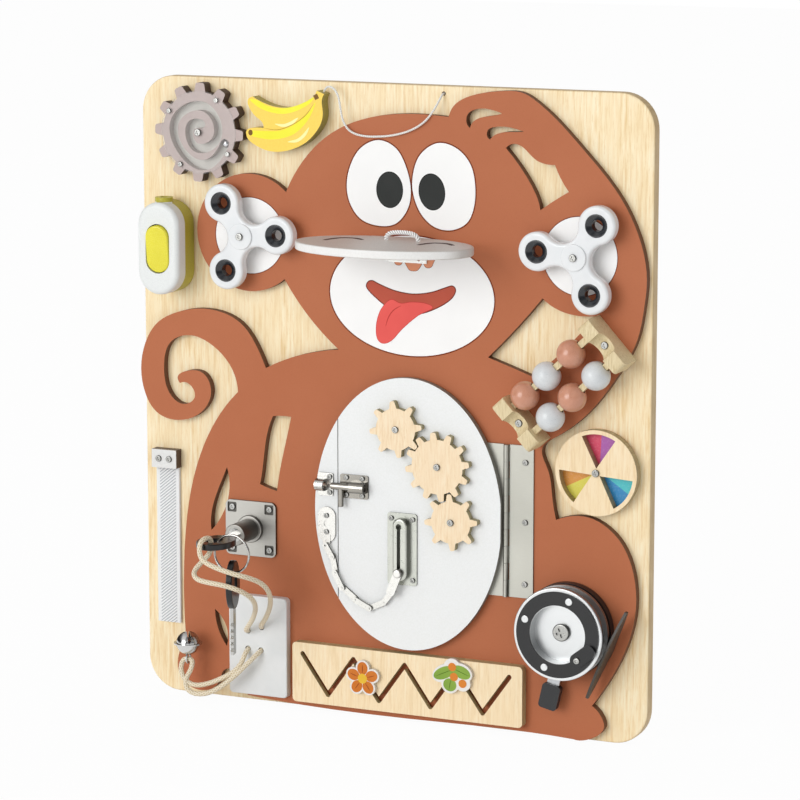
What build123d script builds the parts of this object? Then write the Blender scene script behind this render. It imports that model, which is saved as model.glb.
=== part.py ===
"""Wooden busy board: a pale board with a monkey-shaped panel and many small toys to turn and slide.

Frame: +Z up, +X to the viewer's right, the toys face -Y. The back of the board is at Y = 0 and
the origin is the middle of that back face. A depth is a distance in front of it, so y = -depth.
Millimetres throughout.
"""
from build123d import *
import math
import os

os.makedirs("parts", exist_ok=True)

# ---------------------------------------------------------------- driving dimensions
AIR = 0.3          # clear air between pieces that move past each other
RUN = 0.08         # radial running clearance of a shaft in its hole
SNUG = 0.03        # radial clearance of a piece that sits fixed in its hole

# base board
BOARD_W = 390.0
BOARD_H = 450.0
BOARD_T = 10.0
BOARD_CORNER = 25.0
BOARD_EDGE = 1.5

# monkey panel
PANEL_T = 6.0
FACE = BOARD_T + PANEL_T
EAR_R = 41.5
EAR_L_X = -107.0
EAR_L_Z = 116.8

# screws
HEAD_R = 2.1
HEAD_H = 1.2
SMALL_HEAD_R = 1.9     # the screws of the bolt, keeper, chain and track
SHANK_R = 1.0
BITE = 3.0         # length of a shank below the piece that it holds

# line switch
SWITCH_X = -170.0
SWITCH_Z = 104.0
SWITCH_W = 33.0
SWITCH_H = 66.0
SWITCH_BACK_T = 15.0    # puts the inlet in front of the spiral gear's screws
SWITCH_FRONT_T = 11.0
SWITCH_ROUND = 3.5
ROCKER_W = 18.0
ROCKER_H = 34.0
ROCKER_T = 6.0
ROCKER_TILT = 6.0
ROCKER_PROUD = 1.0     # the pivot lies this far below where the rocker's face would be flush
ROCKER_GAP = 0.5
INLET_R = 6.5
INLET_OUT = 3.0
INLET_IN = 4.0
INLET_BORE_R = 3.0
INLET_BORE_L = 10.0

# spinners
SPIN_L_X = -106.5
SPIN_L_Z = 115.5
SPIN_L_TURN = 4.0
SPIN_R_X = 145.5
SPIN_R_Z = 114.5
SPIN_R_TURN = 54.5
SPIN_ARM = 27.5
LOBE_R = 13.5
WAIST = 11.0
SPIN_T = 8.0
SPIN_ROUND = 2.2
RING_R = 8.0
RING_BORE_R = 3.5
RING_PROUD = 0.4
STAND_R = 6.0
STAND_H = 6.2
CAP_R = 9.15
CAP_H = 1.3
SPIN_AXLE_R = 1.6
AXLE_HEAD_R = 2.6

# spiral gear
SPIRAL_X = -144.5
SPIRAL_Z = 186.5
SPIRAL_T = 9.0
SPIRAL_WASHER_T = 0.35
SPIRAL_WASHER_R = 8.0
SPIRAL_RUN = 0.15      # air between the washer and the gear
SPIRAL_TEETH = 12
SPIRAL_ROOT_R = 28.7
SPIRAL_TIP_R = 35.0
SPIRAL_TOOTH = 9.0
SPIRAL_TIP = 6.6
SPIRAL_ROUND = 1.8
SPIRAL_PHASE = -2.0
CHANNEL_W = 6.8
CHANNEL_FLOOR = 2.8
CHANNEL_START = -20.0
CHANNEL_R = (21.8, 21.2, 20.4, 18.4, 14.4, 10.6, 7.6, 6.2)   # centre line, one for each quarter turn
BALL_R = 3.0
COVER_R = 29.5
COVER_T = 1.2
COVER_SCREW_R = 27.3
COVER_HEAD_R = 1.8
COVER_HEAD_H = 0.9
COVER_SHANK_R = 0.8

# bananas and their cord
BANANA_T = 9.7
CORD_R = 0.75
CORD_HOLE_R = 1.5
CORD_HOLE_X = 40.6
CORD_HOLE_DOWN = 5.3   # below the upper edge of the board

# muzzle flap
FLAP_X = 16.0
FLAP_W = 130.0
FLAP_D = 75.5
FLAP_T = 6.0
FLAP_TOP = 120.3
FLAP_BACK = 1.0        # gap between the panel and the flap's edge
FLAP_KNUCKLE_R = 1.6
FLAP_LEAF_W = 30.0
FLAP_LEAF_L = 10.0
FLAP_LEAF_REST = 6.0   # width of the leaf where it carries the flap
FLAP_PIN_R = 0.6
LEAF_T = 1.0
HANDLE_R = 1.3
HANDLE_X0 = 8.8
HANDLE_X1 = 32.7
HANDLE_RISE = 4.6
HANDLE_SLOPE = 2.5
HANDLE_D = 19.0

# bead frame
BEAD_MID_X = 137.6
BEAD_MID_Z = 27.5
BEAD_TURN = 43.0
BEAD_SPAN = 42.5
BLOCK_L = 40.0
BLOCK_W = 10.5
BLOCK_H = 22.0
BLOCK_ROUND = 3.0
SCOOP_R = 8.0
SCOOP_DEEP = 7.2
BLOCK_HEAD_R = 2.6
ROD_SEAT = 7.5         # how far each rod reaches into its block
ROD_S = 4.5
ROD_GAP = 22.6
ROD_H = 14.0
BEAD_R = 10.0
BEAD_HOLE_R = 3.35
ROD_BEADS = ((19.3, -4.85, -26.4), (23.3, -0.15, -21.8))

# colour wheel
WHEEL_X = 158.2
WHEEL_Z = -34.3
WHEEL_R = 29.8
WHEEL_T = 6.7
WHEEL_ROUND = 0.8
WINDOW_R = 27.0
WINDOW_HUB = 3.2
WINDOW_ANGLE = 54.0
WINDOW_FIRST = 59.0
DISC_R = 28.5
DISC_T = 1.0

# belly door
BELLY_X = 18.8
BELLY_GAP = 3.0        # between the belly and the zigzag plate below it
BELLY_W = 143.2
BELLY_H = 194.2
SPLIT_X = -35.1
SPLIT_GAP = 0.6
DOOR_T = 5.0
LEAF_GAP = 0.3
HINGE_X = 92.0
HINGE_R = 1.9
HINGE_PIN_R = 0.8
HINGE_T = 1.2
HINGE_TOP = -19.5
HINGE_LOW = -127.0
HINGE_OUT = 112.0
HINGE_IN = 70.0
HINGE_SCREWS = ((106.0, -31.4), (106.0, -73.5), (106.0, -117.3))

# belly gears
GEAR_X = 44.0
GEAR_Z = -37.7
GEAR_SPACING = 39.8
GEAR_LINE_1 = 142.8
GEAR_LINE_3 = -74.8
GEAR_T = 5.2
BIG_TEETH = 12
BIG_ROOT_R = 19.3
BIG_TIP_R = 24.3
BIG_BASE = 5.6
BIG_TIP = 3.8
SMALL_TEETH = 8
SMALL_ROOT_R = 14.9
SMALL_TIP_R = 20.0
SMALL_BASE = 5.6
SMALL_TIP = 3.2
GEAR_TIP_ROUND = 1.2
GEAR_AXLE_R = 1.5
GEAR_HEAD_R = 2.4

# barrel bolt
BOLT_Z = -57.8
BOLT_X0 = -32.6
BOLT_X1 = -10.8
BOLT_H = 17.0
STEEL_T = 1.2
BOLT_R = 2.5
BOLT_HOUSE_R = 4.0
BOLT_HOUSE_IN = 9.4    # the housing starts this far in from the plate's edge, clear of the knob
BOLT_TRAVEL = 8.0
KNOB_R = 1.9
KNOB_L = 14.5
KEEPER_X0 = -50.0
KEEPER_X1 = -38.2
KEEPER_H = 16.5
KEEPER_LOOP_W = 6.5

# door chain
ANCHOR_X = -43.3
ANCHOR_TOP = -74.0
ANCHOR_LOW = -99.5
ANCHOR_W = 13.8
TONGUE_W = 6.0
LINK_W = 4.2
LINK_T = 1.5
LINK_PIN_R = 0.7
TRACK_X0 = 4.2
TRACK_X1 = 26.7
TRACK_TOP = -73.5
TRACK_LOW = -125.0
TRACK_W = 11.2
TRACK_H = 5.0
TRACK_X = 15.6
TRACK_SCREW_X = 3.0
TRACK_SCREW_Z = 4.0
TRACK_SLOT = 2.7
TRACK_SLOT_TOP = -81.0
TRACK_SLOT_LOW = -117.0

# zigzag plate and its tokens
ZIG_X0 = -71.2
ZIG_X1 = 106.9
ZIG_Z0 = -218.6
ZIG_Z1 = -174.9
ZIG_T = 7.0
ZIG_CORNER = 3.0
SLOT_W = 3.6
SLOT_FIRST = -63.0
SLOT_STEP = 20.0
SLOT_LEGS = 8
SLOT_TOP = -183.0
SLOT_LOW = -211.0
TOKEN_T = 3.0
STEM_R = 1.6
BUTTON_R = 2.6
BUTTON_T = 1.4
SLOT_BED_W = 6.6       # wider groove behind the slot, where the token's button runs
SLOT_BED_T = 2.4
FLOWER_X = -14.2       # where each token rests along its slot
SPRIG_X = 55.0

# lock and keys
LOCK_X = -106.5
LOCK_Z = -96.5
LOCK_S = 40.0
LOCK_T = 2.2
LOCK_CORNER = 4.0
LOCK_SCREWS = 14.8
COLLAR_R = 10.0
COLLAR_T = 3.0
BARREL_R = 7.8
BARREL_FRONT = 43.0
PLUG_R = 5.0
PLUG_L = 12.0
BLADE_W = 7.6
BLADE_T = 2.2
BOW_NECK = 54.0
BOW_L = 34.5
BOW_W = 26.0
BOW_T = 4.5
BOW_HOLE_L = 15.0
BOW_HOLE_W = 8.6
BOW_RIM = 7.5
RING_X = -93.0
RING_Z = -102.7
RING_DEPTH = 73.5
RING_MID_R = 13.5
WIRE_R = 0.8
SPARE_TILT = 14.0
SPARE_OFFSET = 0.6     # the spare key hangs this far beside the lowest point of the ring
SPARE_BLADE_L = 33.0
BLADE_SUNK = 3.0       # how far the blade reaches into its bow
NOTCHES = 5
NOTCH_STEP = 4.6
NOTCH_S = 1.7

# cord plate, ropes and bell
PLATE_X0 = -122.7
PLATE_X1 = -76.3
PLATE_Z0 = -218.0
PLATE_Z1 = -144.8
PLATE_T = 6.0
PLATE_CORNER = 3.0
ROPE_R = 1.8
ROPE_HOLES = ((-96.4, -167.3), (-107.4, -170.9), (-107.4, -184.2), (-97.0, -184.5))
BELL_X = -151.4
BELL_Z = -182.5
BELL_DEPTH = 31.0
BELL_R = 8.5
BELL_RIM_R = 10.3
BELL_RIM_T = 1.0
BELL_WALL = 0.8
BELL_SLIT = 2.2
BELL_EYE_R = 3.9
BELL_BALL_R = 2.2

# webbing strap
STRAP_X = -176.6
STRAP_W = 19.0
STRAP_TOP = -47.0
STRAP_LOW = -173.5
STRAP_T = 2.4
CLAMP_W = 20.0
CLAMP_TOP = -44.6
CLAMP_LOW = -58.0
CLAMP_H = 8.0
CLAMP_SCREW_X = 4.2

# fishing reel
REEL_X = 139.7
REEL_Z = -144.5
REEL_R = 32.6
REEL_BACK_T = 7.0
REEL_WALL = 2.0
REEL_FRONT = 39.5
SPOOL_RIM_T = 2.6
SPOOL_CORE_R = 25.5
DISH_R = 20.2
DISH_DEEP = 8.0
FACE_R = 30.3
FACE_T = 1.0
REEL_SCREW_R = 6.2
REEL_AXLE_R = 3.0
RIVET_PATH_R = 25.4
RIVET_R = 2.6
RIVET_FIRST = 70.5
CRANK_R = 5.0
CRANK_T = 2.2
CRANK_END_R = 22.2
CRANK_END_A = -46.0
LEVER_A = -103.0
LEVER_T = 1.5
LEVER_W = 9.0
LEVER_OUT = 43.5
GRIP_W = 13.5
GRIP_L = 18.0
GRIP_T = 5.0
FOOT_A = -24.0
FOOT_L = 69.0
FOOT_W = 14.0
FOOT_T = 1.8
FOOT_DEPTH = 27.0
FOOT_GAP = 0.9

# ---------------------------------------------------------------- outlines
# panel, clockwise from the left ear: each list runs from one sharp corner to the next
HEAD_TOP = [(-77.7, 146.9), (-66.6, 166.4), (-43.2, 189.1), (-8.7, 202.6), (29.2, 205.4), (46.9, 204.4)]
ARM_OUTER = [(145.1, 187.3), (174.3, 153.5), (186.0, 131.2), (192.8, 99.2), (191.2, 82.1),
             (186.5, 59.3), (172.4, 33.3), (149.1, 4.0), (136.0, -6.7), (123.5, -14.3)]
SIDE_RIGHT = [(123.5, -14.3), (117.6, -23.1), (122.2, -35.3), (125.3, -52.6), (128.4, -69.8)]
THIGH = [(128.4, -69.8), (142.4, -65.8), (153.5, -66.2), (164.5, -70.8), (175.5, -80.5), (186.0, -103.7),
         (187.6, -128.7), (178.8, -160.7)]
SIDE_LEFT = [(-162.4, -152.1), (-161.1, -111.1), (-154.9, -69.2), (-143.1, -35.2), (-133.2, -17.7),
             (-116.9, 1.7)]
TAIL_INNER = [(-116.9, 1.7), (-122.3, 19.4), (-137.5, 34.3), (-156.8, 40.2), (-171.1, 34.2),
              (-176.7, 14.2), (-171.6, -4.1), (-160.0, -10.2), (-151.8, -4.0), (-154.5, 3.2),
              (-163.8, 4.9)]
TAIL_OUTER = [(-163.8, 4.9), (-165.6, 9.2), (-157.0, 14.4), (-144.2, 12.8), (-138.6, 0.8), (-145.3, -13.8),
              (-163.3, -22.1), (-182.1, -18.4), (-194.0, 1.1), (-193.6, 26.8), (-181.1, 48.1),
              (-165.5, 56.3), (-146.9, 60.0), (-130.0, 58.6), (-114.4, 51.6), (-102.6, 37.3),
              (-94.4, 20.6)]
SHOULDER = [(-94.4, 20.6), (-75.3, 29.1), (-55.6, 34.7), (-37.1, 37.7)]
CHEEK = [(-37.1, 37.7), (-59.4, 58.7), (-79.3, 85.2)]

# the raised hand and its openings: x, and the distance below the upper edge of the board
HAND = [(52.4, 11.2), (63.0, 5.7), (87.9, 1.4), (101.0, 2.0), (111.4, 7.3)]
SLIT_1 = ([(86.5, 16.7), (76.2, 14.1), (66.5, 14.8), (61.3, 18.0), (60.6, 24.9), (62.9, 27.5)],
          [(62.9, 27.5), (65.1, 23.3), (71.0, 20.1), (86.5, 16.7)])
SLIT_2 = ([(102.8, 28.4), (93.2, 26.1), (81.4, 26.1), (76.2, 28.4), (75.5, 32.2), (77.7, 34.8)],
          [(77.7, 34.8), (82.9, 30.8), (91.5, 29.1), (102.8, 28.4)])
ARM_WINDOW = ([(89.6, 40.1), (99.2, 51.2), (107.4, 62.8), (113.4, 74.4), (115.2, 81.2)],
              [(115.2, 81.2), (125.1, 74.5), (135.9, 67.9)],
              [(135.9, 67.9), (130.0, 59.4), (125.6, 50.1)],
              [(125.6, 50.1), (118.3, 49.7), (111.7, 47.3), (99.2, 37.6), (94.7, 37.1), (89.6, 40.1)])

# the feet and the line between them: x, and the height above the lower edge of the board
FOOT_RIGHT = [(156.3, 26.4), (163.5, 19.0), (165.4, 12.5), (158.0, 4.0), (143.0, 1.0)]
SOLE = [(143.0, 1.0), (90.0, 2.4), (20.0, 1.4), (-64.8, 2.0), (-110.8, 4.5)]
FOOT_LEFT = [(-110.8, 4.5), (-115.5, 15.0), (-123.0, 22.5), (-129.5, 21.5), (-135.0, 11.0), (-150.0, 4.0),
             (-165.5, 12.0), (-168.0, 25.0), (-161.0, 39.0)]
TOE_SLOT = ([(-137.1, 66.1), (-135.6, 54.8), (-127.6, 39.2)],
            [(-127.6, 39.2), (-126.7, 49.0), (-137.1, 66.1)])

# the other openings in the panel, each one a closed run of curves
NECK_WINDOW = ([(117.2, 83.4), (97.0, 60.3), (77.0, 39.9)],
               [(77.0, 39.9), (92.0, 35.0), (110.6, 28.6)],
               [(110.6, 28.6), (134.0, 49.5), (156.0, 73.5)],
               [(156.0, 73.5), (144.5, 72.9), (131.0, 75.3), (117.2, 83.4)])
SLOT_A = ([(-89.0, -13.6), (-93.1, -24.0), (-96.4, -42.4), (-99.8, -63.8)],
          [(-99.8, -63.8), (-93.0, -66.2), (-86.2, -67.8)],
          [(-86.2, -67.8), (-84.6, -56.7), (-78.4, -29.4), (-74.7, -13.2)],
          [(-74.7, -13.2), (-82.0, -13.0), (-89.0, -13.6)])
SLOT_B = ([(-126.3, -53.6), (-135.4, -74.9), (-139.2, -88.4), (-139.3, -101.0)],
          [(-139.3, -101.0), (-134.0, -94.6), (-124.8, -72.5), (-126.3, -53.6)])

BANANAS = ([(-101.5, 213.4), (-93.1, 209.4), (-82.8, 206.7), (-74.2, 206.5), (-65.7, 208.4), (-57.1, 211.8),
            (-51.5, 219.2)],
           [(-51.5, 219.2), (-45.6, 217.0)],
           [(-45.6, 217.0), (-47.6, 212.1), (-46.9, 205.0), (-47.6, 198.4), (-52.1, 190.5), (-59.0, 183.6),
            (-68.1, 178.6), (-80.2, 175.5), (-91.1, 176.1), (-100.3, 179.8), (-106.0, 184.7),
            (-106.4, 189.2), (-102.0, 191.4), (-93.0, 191.6)],
           [(-93.0, 191.6), (-94.4, 196.0), (-99.0, 199.4), (-103.0, 203.9), (-105.4, 210.0),
            (-101.5, 213.4)])

# cords: x, z, depth of each point of the route; the bananas' cord ends in its hole
CORD_ROUTE = [(-49.2, 215.9, 15.2), (-47.0, 221.6, 15.6), (-41.2, 222.2, 16.6), (-36.2, 217.2, 17.6),
              (-34.2, 208.4, 18.2), (-32.4, 198.8, 18.5), (-27.0, 191.4, 18.5), (-17.0, 188.7, 18.3),
              (-5.0, 188.9, 18.1), (7.0, 190.3, 18.1), (19.5, 194.0, 18.1), (29.6, 200.0, 18.0),
              (35.8, 207.6, 17.4), (39.2, 214.4, 15.8)]
UPPER_ROPE = [(-96.4, -167.3, 20.0), (-96.0, -166.4, 26.0), (-88.5, -158.4, 31.0), (-78.6, -145.4, 42.0),
              (-71.2, -131.8, 58.0), (-69.8, -122.1, 72.0), (-73.8, -116.0, 84.0), (-82.0, -112.4, 92.0),
              (-94.2, -109.0, 94.0), (-104.8, -105.2, 94.0), (-109.0, -99.5, 92.5), (-108.0, -90.6, 91.5),
              (-106.6, -90.6, 78.6), (-106.4, -101.2, 78.6), (-112.0, -108.0, 81.0), (-117.0, -114.8, 86.0),
              (-112.5, -118.8, 91.5), (-102.0, -119.8, 94.0), (-90.0, -120.5, 94.0), (-80.0, -124.0, 89.0),
              (-76.5, -131.8, 76.0), (-82.0, -142.9, 58.0), (-93.0, -156.0, 41.0), (-102.5, -165.5, 31.5),
              (-107.2, -170.2, 26.5), (-107.4, -170.9, 20.0)]
LOWER_ROPE = [(-107.4, -184.2, 20.0), (-107.2, -185.4, 26.0), (-108.0, -193.0, 31.0), (-112.5, -199.2, 34.0),
              (-121.5, -204.5, 35.5), (-132.5, -209.8, 36.0), (-144.0, -212.5, 36.0), (-152.6, -209.2, 35.0),
              (-156.6, -201.7, 33.5), (-155.4, -194.3, 31.2), (-147.6, -193.9, 31.0), (-147.9, -201.0, 32.8),
              (-151.2, -207.8, 35.5), (-150.0, -214.6, 37.8), (-142.8, -218.0, 38.6), (-131.5, -216.4, 38.5),
              (-120.2, -209.6, 37.5), (-110.2, -200.6, 35.0), (-101.5, -191.0, 31.0), (-97.2, -185.6, 26.0),
              (-97.0, -184.5, 20.0)]
CHAIN_ROUTE = [(-43.3, -101.5), (-38.4, -109.3), (-36.2, -120.8), (-30.6, -131.1), (-20.2, -138.8),
               (-9.3, -144.0), (2.0, -138.6), (9.4, -129.2)]


# ---------------------------------------------------------------- helpers
def at(depth, x=0.0, z=0.0, turn=0.0):
    """Sketch plane facing the viewer, with its x axis turned from +X towards +Z."""
    a = math.radians(turn)
    return Plane(origin=(x, -depth, z), x_dir=(math.cos(a), 0, math.sin(a)), z_dir=(0, -1, 0))


def slab(sketch, depth, thick, x=0.0, z=0.0, turn=0.0):
    return extrude(at(depth, x, z, turn) * sketch, thick)


def rod(x, z, depth, thick, r):
    return slab(Circle(r), depth, thick, x, z)


def block(x0, x1, z0, z1, depth, thick, corner=0.0):
    shape = Rectangle(x1 - x0, z1 - z0) if corner == 0 else RectangleRounded(x1 - x0, z1 - z0, corner)
    return slab(shape, depth, thick, (x0 + x1) / 2, (z0 + z1) / 2)


def outline(runs):
    """Closed face from runs of points: a straight edge for two points, else a smooth curve."""
    edges = []
    for run in runs:
        edges.append(Line(run[0], run[1]) if len(run) == 2 else Spline(*run))
    return make_face(edges)


def soft(shape, depth, r):
    """Round the edges of a shape that lie in the plane at a depth."""
    return fillet(shape.edges().filter_by_position(Axis.Y, -depth - 0.01, -depth + 0.01), r)


def keep(name, *solids):
    shape = solids[0] if len(solids) == 1 else Compound(children=list(solids))
    export_step(shape, "parts/" + name + ".step")


def screw(x, z, seat, grip, head=HEAD_R, shank=SHANK_R, height=HEAD_H):
    """Pan-head cross screw with its head on the face at depth seat."""
    body = soft(rod(x, z, seat, height, head), seat + height, height * 0.45)
    cross = Rectangle(head * 1.1, head * 0.28) + Rectangle(head * 0.28, head * 1.1)
    body -= slab(cross, seat + height * 0.5, height, x, z, 20)
    return body + rod(x, z, seat - grip, grip + height * 0.3, shank)


def drill(piece, spots, seat, grip, shank=SHANK_R):
    for x, z in spots:
        piece -= rod(x, z, seat - grip - 0.2, grip + 20, shank + SNUG)
    return piece


def towards(x, depth, z, direction):
    """Sketch plane at a place, facing a direction given as x, y, z."""
    return Plane(origin=(x, -depth, z), z_dir=direction)


def bar_x(x0, x1, depth, z, r):
    """Round bar along X."""
    return extrude(towards(x0, depth, z, (1, 0, 0)) * Circle(r), x1 - x0)


def polar(x, z, r, angle):
    a = math.radians(angle)
    return (x + r * math.cos(a), z + r * math.sin(a))


def gear(teeth, root_r, tip_r, base, tip, tip_round, phase):
    shape = Circle(root_r)
    inner = math.sqrt(root_r ** 2 - (base / 2) ** 2) - 0.3
    for i in range(teeth):
        low_side = [(inner, -base / 2), (tip_r, -tip / 2)]
        high_side = [(tip_r, tip / 2), (inner, base / 2)]
        tooth = Polygon(*low_side, *high_side, align=None)
        tooth = fillet(tooth.vertices().group_by(Axis.X)[-1], tip_round)
        shape += Rot(0, 0, phase + i * 360.0 / teeth) * tooth
    return shape


def cord(name, route, r):
    """Round tube along straight runs with the widest arcs that the runs allow."""
    pts = [Vector(x, -d, z) for x, z, d in route]
    radii = []
    for a, b, c in zip(pts, pts[1:], pts[2:]):
        turn = (b - a).get_angle(c - b)
        radii.append(0.45 * min((b - a).length, (c - b).length) / math.tan(math.radians(turn / 2)))
    path = FilletPolyline(*pts, radius=radii)
    start = Plane(origin=path @ 0, z_dir=path % 0)
    tube = sweep(start * Circle(r), path=path)
    ratio = tube.volume / (math.pi * r * r * path.length)
    print(name, "length %.1f volume ratio %.4f" % (path.length, ratio), "radii", ["%.1f" % v for v in radii])
    return tube


# ---------------------------------------------------------------- screw positions
bead_ux, bead_uz = polar(0, 0, 1, BEAD_TURN)
block_spots = [(BEAD_MID_X + s * BEAD_SPAN * bead_ux, BEAD_MID_Z + s * BEAD_SPAN * bead_uz) for s in (1, -1)]
lock_spots = [(LOCK_X + i * LOCK_SCREWS, LOCK_Z + j * LOCK_SCREWS) for i in (-1, 1) for j in (-1, 1)]
clamp_z = (CLAMP_TOP + CLAMP_LOW) / 2
clamp_spots = [(STRAP_X - CLAMP_SCREW_X, clamp_z), (STRAP_X + CLAMP_SCREW_X, clamp_z)]
anchor_spots = [(ANCHOR_X, ANCHOR_TOP - 6.3), (ANCHOR_X, ANCHOR_LOW + 7.5)]
keeper_spots = [(KEEPER_X1 - 2.4, BOLT_Z + 5.6), (KEEPER_X1 - 2.4, BOLT_Z - 5.6)]
flap_axis_z = FLAP_TOP - FLAP_T - FLAP_KNUCKLE_R - 0.4
flap_axis_d = FACE + FLAP_KNUCKLE_R + 0.4
flap_spots = [(FLAP_X - 9, flap_axis_z - 7.5), (FLAP_X + 9, flap_axis_z - 7.5)]
belly_face = FACE + LEAF_GAP + HINGE_T + DOOR_T
screws = []

# ---------------------------------------------------------------- base board
cord_hole_z = BOARD_H / 2 - CORD_HOLE_DOWN
board = slab(RectangleRounded(BOARD_W, BOARD_H, BOARD_CORNER), 0, BOARD_T)
board = soft(board, BOARD_T, BOARD_EDGE)
board = soft(board, 0, BOARD_EDGE)
board -= rod(CORD_HOLE_X, cord_hole_z, -1, BOARD_T + 2, CORD_HOLE_R)
board = drill(board, clamp_spots, BOARD_T, BITE)
board = drill(board, [(SPIRAL_X, SPIRAL_Z)], BOARD_T, BITE, SPIN_AXLE_R)
board = drill(board, [(WHEEL_X, WHEEL_Z)], BOARD_T, BITE, SPIN_AXLE_R)
keep("board", board)

# ---------------------------------------------------------------- monkey panel
ear_top = HEAD_TOP[0]
ear_low = CHEEK[-1]
ear = ThreePointArc(ear_low, (EAR_L_X - EAR_R, EAR_L_Z), ear_top)


def from_low_edge(run):
    return [(x, up - BOARD_H / 2) for x, up in run]


def from_top_edge(run):
    return [(x, BOARD_H / 2 - down) for x, down in run]


arm_outer = HEAD_TOP[-1:] + from_top_edge(HAND) + ARM_OUTER
foot_right = from_low_edge(FOOT_RIGHT)
foot_left = from_low_edge(FOOT_LEFT)
thigh = THIGH + foot_right[:1]
side_left = foot_left[-1:] + SIDE_LEFT
runs = (HEAD_TOP, arm_outer, SIDE_RIGHT, thigh, foot_right, from_low_edge(SOLE), foot_left, side_left,
        TAIL_INNER, TAIL_OUTER, SHOULDER, CHEEK)
panel_face = make_face([Spline(*run) for run in runs] + [ear])
hand_holes = [[from_top_edge(run) for run in hole] for hole in (SLIT_1, SLIT_2, ARM_WINDOW)]
toe_slot = [from_low_edge(run) for run in TOE_SLOT]
for hole in hand_holes + [NECK_WINDOW, SLOT_A, SLOT_B, toe_slot]:
    panel_face -= outline(hole)
panel = slab(panel_face, BOARD_T, PANEL_T)
panel = drill(panel, HINGE_SCREWS, FACE, BITE)
panel = drill(panel, lock_spots, FACE, BITE)
panel = drill(panel, block_spots, FACE, BITE)
panel = drill(panel, flap_spots, FACE, BITE)
panel = drill(panel, [(SPIN_L_X, SPIN_L_Z), (SPIN_R_X, SPIN_R_Z)], FACE, BITE, SPIN_AXLE_R)
panel = drill(panel, [(REEL_X, REEL_Z)], FACE, BITE, REEL_AXLE_R)
for hx, hz in ROPE_HOLES:
    panel -= rod(hx, hz, FACE - 1.0, 2.0, ROPE_R + 0.4)
keep("monkey_panel", panel)

# ---------------------------------------------------------------- line switch
switch_mid = BOARD_T + SWITCH_BACK_T
switch_front = switch_mid + SWITCH_FRONT_T
stadium = SlotOverall(SWITCH_H, SWITCH_W, rotation=90)
inlet_z = SWITCH_Z + SWITCH_H / 2
inlet_top = inlet_z + INLET_OUT
inlet = towards(SWITCH_X, switch_mid, inlet_z - INLET_IN, (0, 0, 1)) * Circle(INLET_R)
inlet = extrude(inlet, INLET_IN + INLET_OUT)
bore = towards(SWITCH_X, switch_mid, inlet_top - INLET_BORE_L, (0, 0, 1)) * Circle(INLET_BORE_R)
bore = extrude(bore, INLET_BORE_L + 1)
half_w = SWITCH_W / 2
back_half = block(SWITCH_X - half_w, SWITCH_X + half_w, SWITCH_Z, inlet_top, BOARD_T, SWITCH_BACK_T)
front_half = block(SWITCH_X - half_w, SWITCH_X + half_w, SWITCH_Z, inlet_top, switch_mid, SWITCH_FRONT_T)
back_shell = slab(stadium, BOARD_T, SWITCH_BACK_T, SWITCH_X, SWITCH_Z)
back_shell = soft(back_shell, BOARD_T, SWITCH_ROUND * 0.6)
back_shell = back_shell + (inlet & back_half) - bore
front_shell = slab(stadium, switch_mid, SWITCH_FRONT_T, SWITCH_X, SWITCH_Z)
front_shell = soft(front_shell, switch_front, SWITCH_ROUND)
front_shell = front_shell + (inlet & front_half) - bore
pocket = SlotOverall(ROCKER_H + 2 * ROCKER_GAP + 0.4, ROCKER_W + 2 * ROCKER_GAP, rotation=90)
front_shell -= slab(pocket, switch_mid, SWITCH_FRONT_T + 1, SWITCH_X, SWITCH_Z)
keep("switch_shell", back_shell, front_shell)

pivot_depth = switch_front - ROCKER_T / 2 + ROCKER_PROUD
rocker = SlotOverall(ROCKER_H, ROCKER_W, rotation=90)
rocker = slab(rocker, pivot_depth - ROCKER_T / 2, ROCKER_T, SWITCH_X, SWITCH_Z)
rocker = soft(rocker, pivot_depth + ROCKER_T / 2, 1.2)
rocker = rocker.rotate(Axis((SWITCH_X, -pivot_depth, SWITCH_Z), (1, 0, 0)), ROCKER_TILT)
keep("rocker", rocker)


# ---------------------------------------------------------------- spinners
def spinner(name, x, z, turn):
    """Three lobes joined by concave waists that meet each lobe tangentially."""
    half = SPIN_ARM / 2
    cut_r = ((WAIST - half) ** 2 + 0.75 * SPIN_ARM ** 2 - LOBE_R ** 2) / (2 * (LOBE_R - WAIST + half))
    star = []
    for i in range(3):
        star.append(polar(0, 0, SPIN_ARM, 120 * i))
        star.append(polar(0, 0, WAIST + cut_r, 120 * i + 60))
    shape = Polygon(*star, align=None)
    for i in range(3):
        shape += Pos(*star[2 * i]) * Circle(LOBE_R)
    for i in range(3):
        shape -= Pos(*star[2 * i + 1]) * Circle(cut_r)
    back = FACE + STAND_H + AIR
    front = back + SPIN_T
    body = slab(shape, back, SPIN_T, x, z, turn)
    body = soft(body, front, SPIN_ROUND)
    body = soft(body, back, SPIN_ROUND * 0.5)
    rings = []
    for i in range(3):
        cx, cz = polar(x, z, SPIN_ARM, turn + 120 * i)
        body -= rod(cx, cz, back - 1, SPIN_T + 2, RING_R + SNUG)
        ring = soft(rod(cx, cz, back - 0.0, SPIN_T + RING_PROUD, RING_R), front + RING_PROUD, 0.5)
        ring -= rod(cx, cz, back - 1, SPIN_T + 3, RING_BORE_R)
        rings.append(ring)
    body += soft(rod(x, z, front, CAP_H, CAP_R), front + CAP_H, 0.6)
    body -= rod(x, z, back - 1, SPIN_T + CAP_H + 2, SPIN_AXLE_R + RUN)
    keep(name, body)
    keep(name + "_rings", *rings)
    post = rod(x, z, FACE, STAND_H, STAND_R) - rod(x, z, FACE - 1, STAND_H + 2, SPIN_AXLE_R + SNUG)
    axle = screw(x, z, front + CAP_H + AIR, front + CAP_H + AIR - FACE + BITE, AXLE_HEAD_R, SPIN_AXLE_R)
    return [post, axle]


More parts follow.
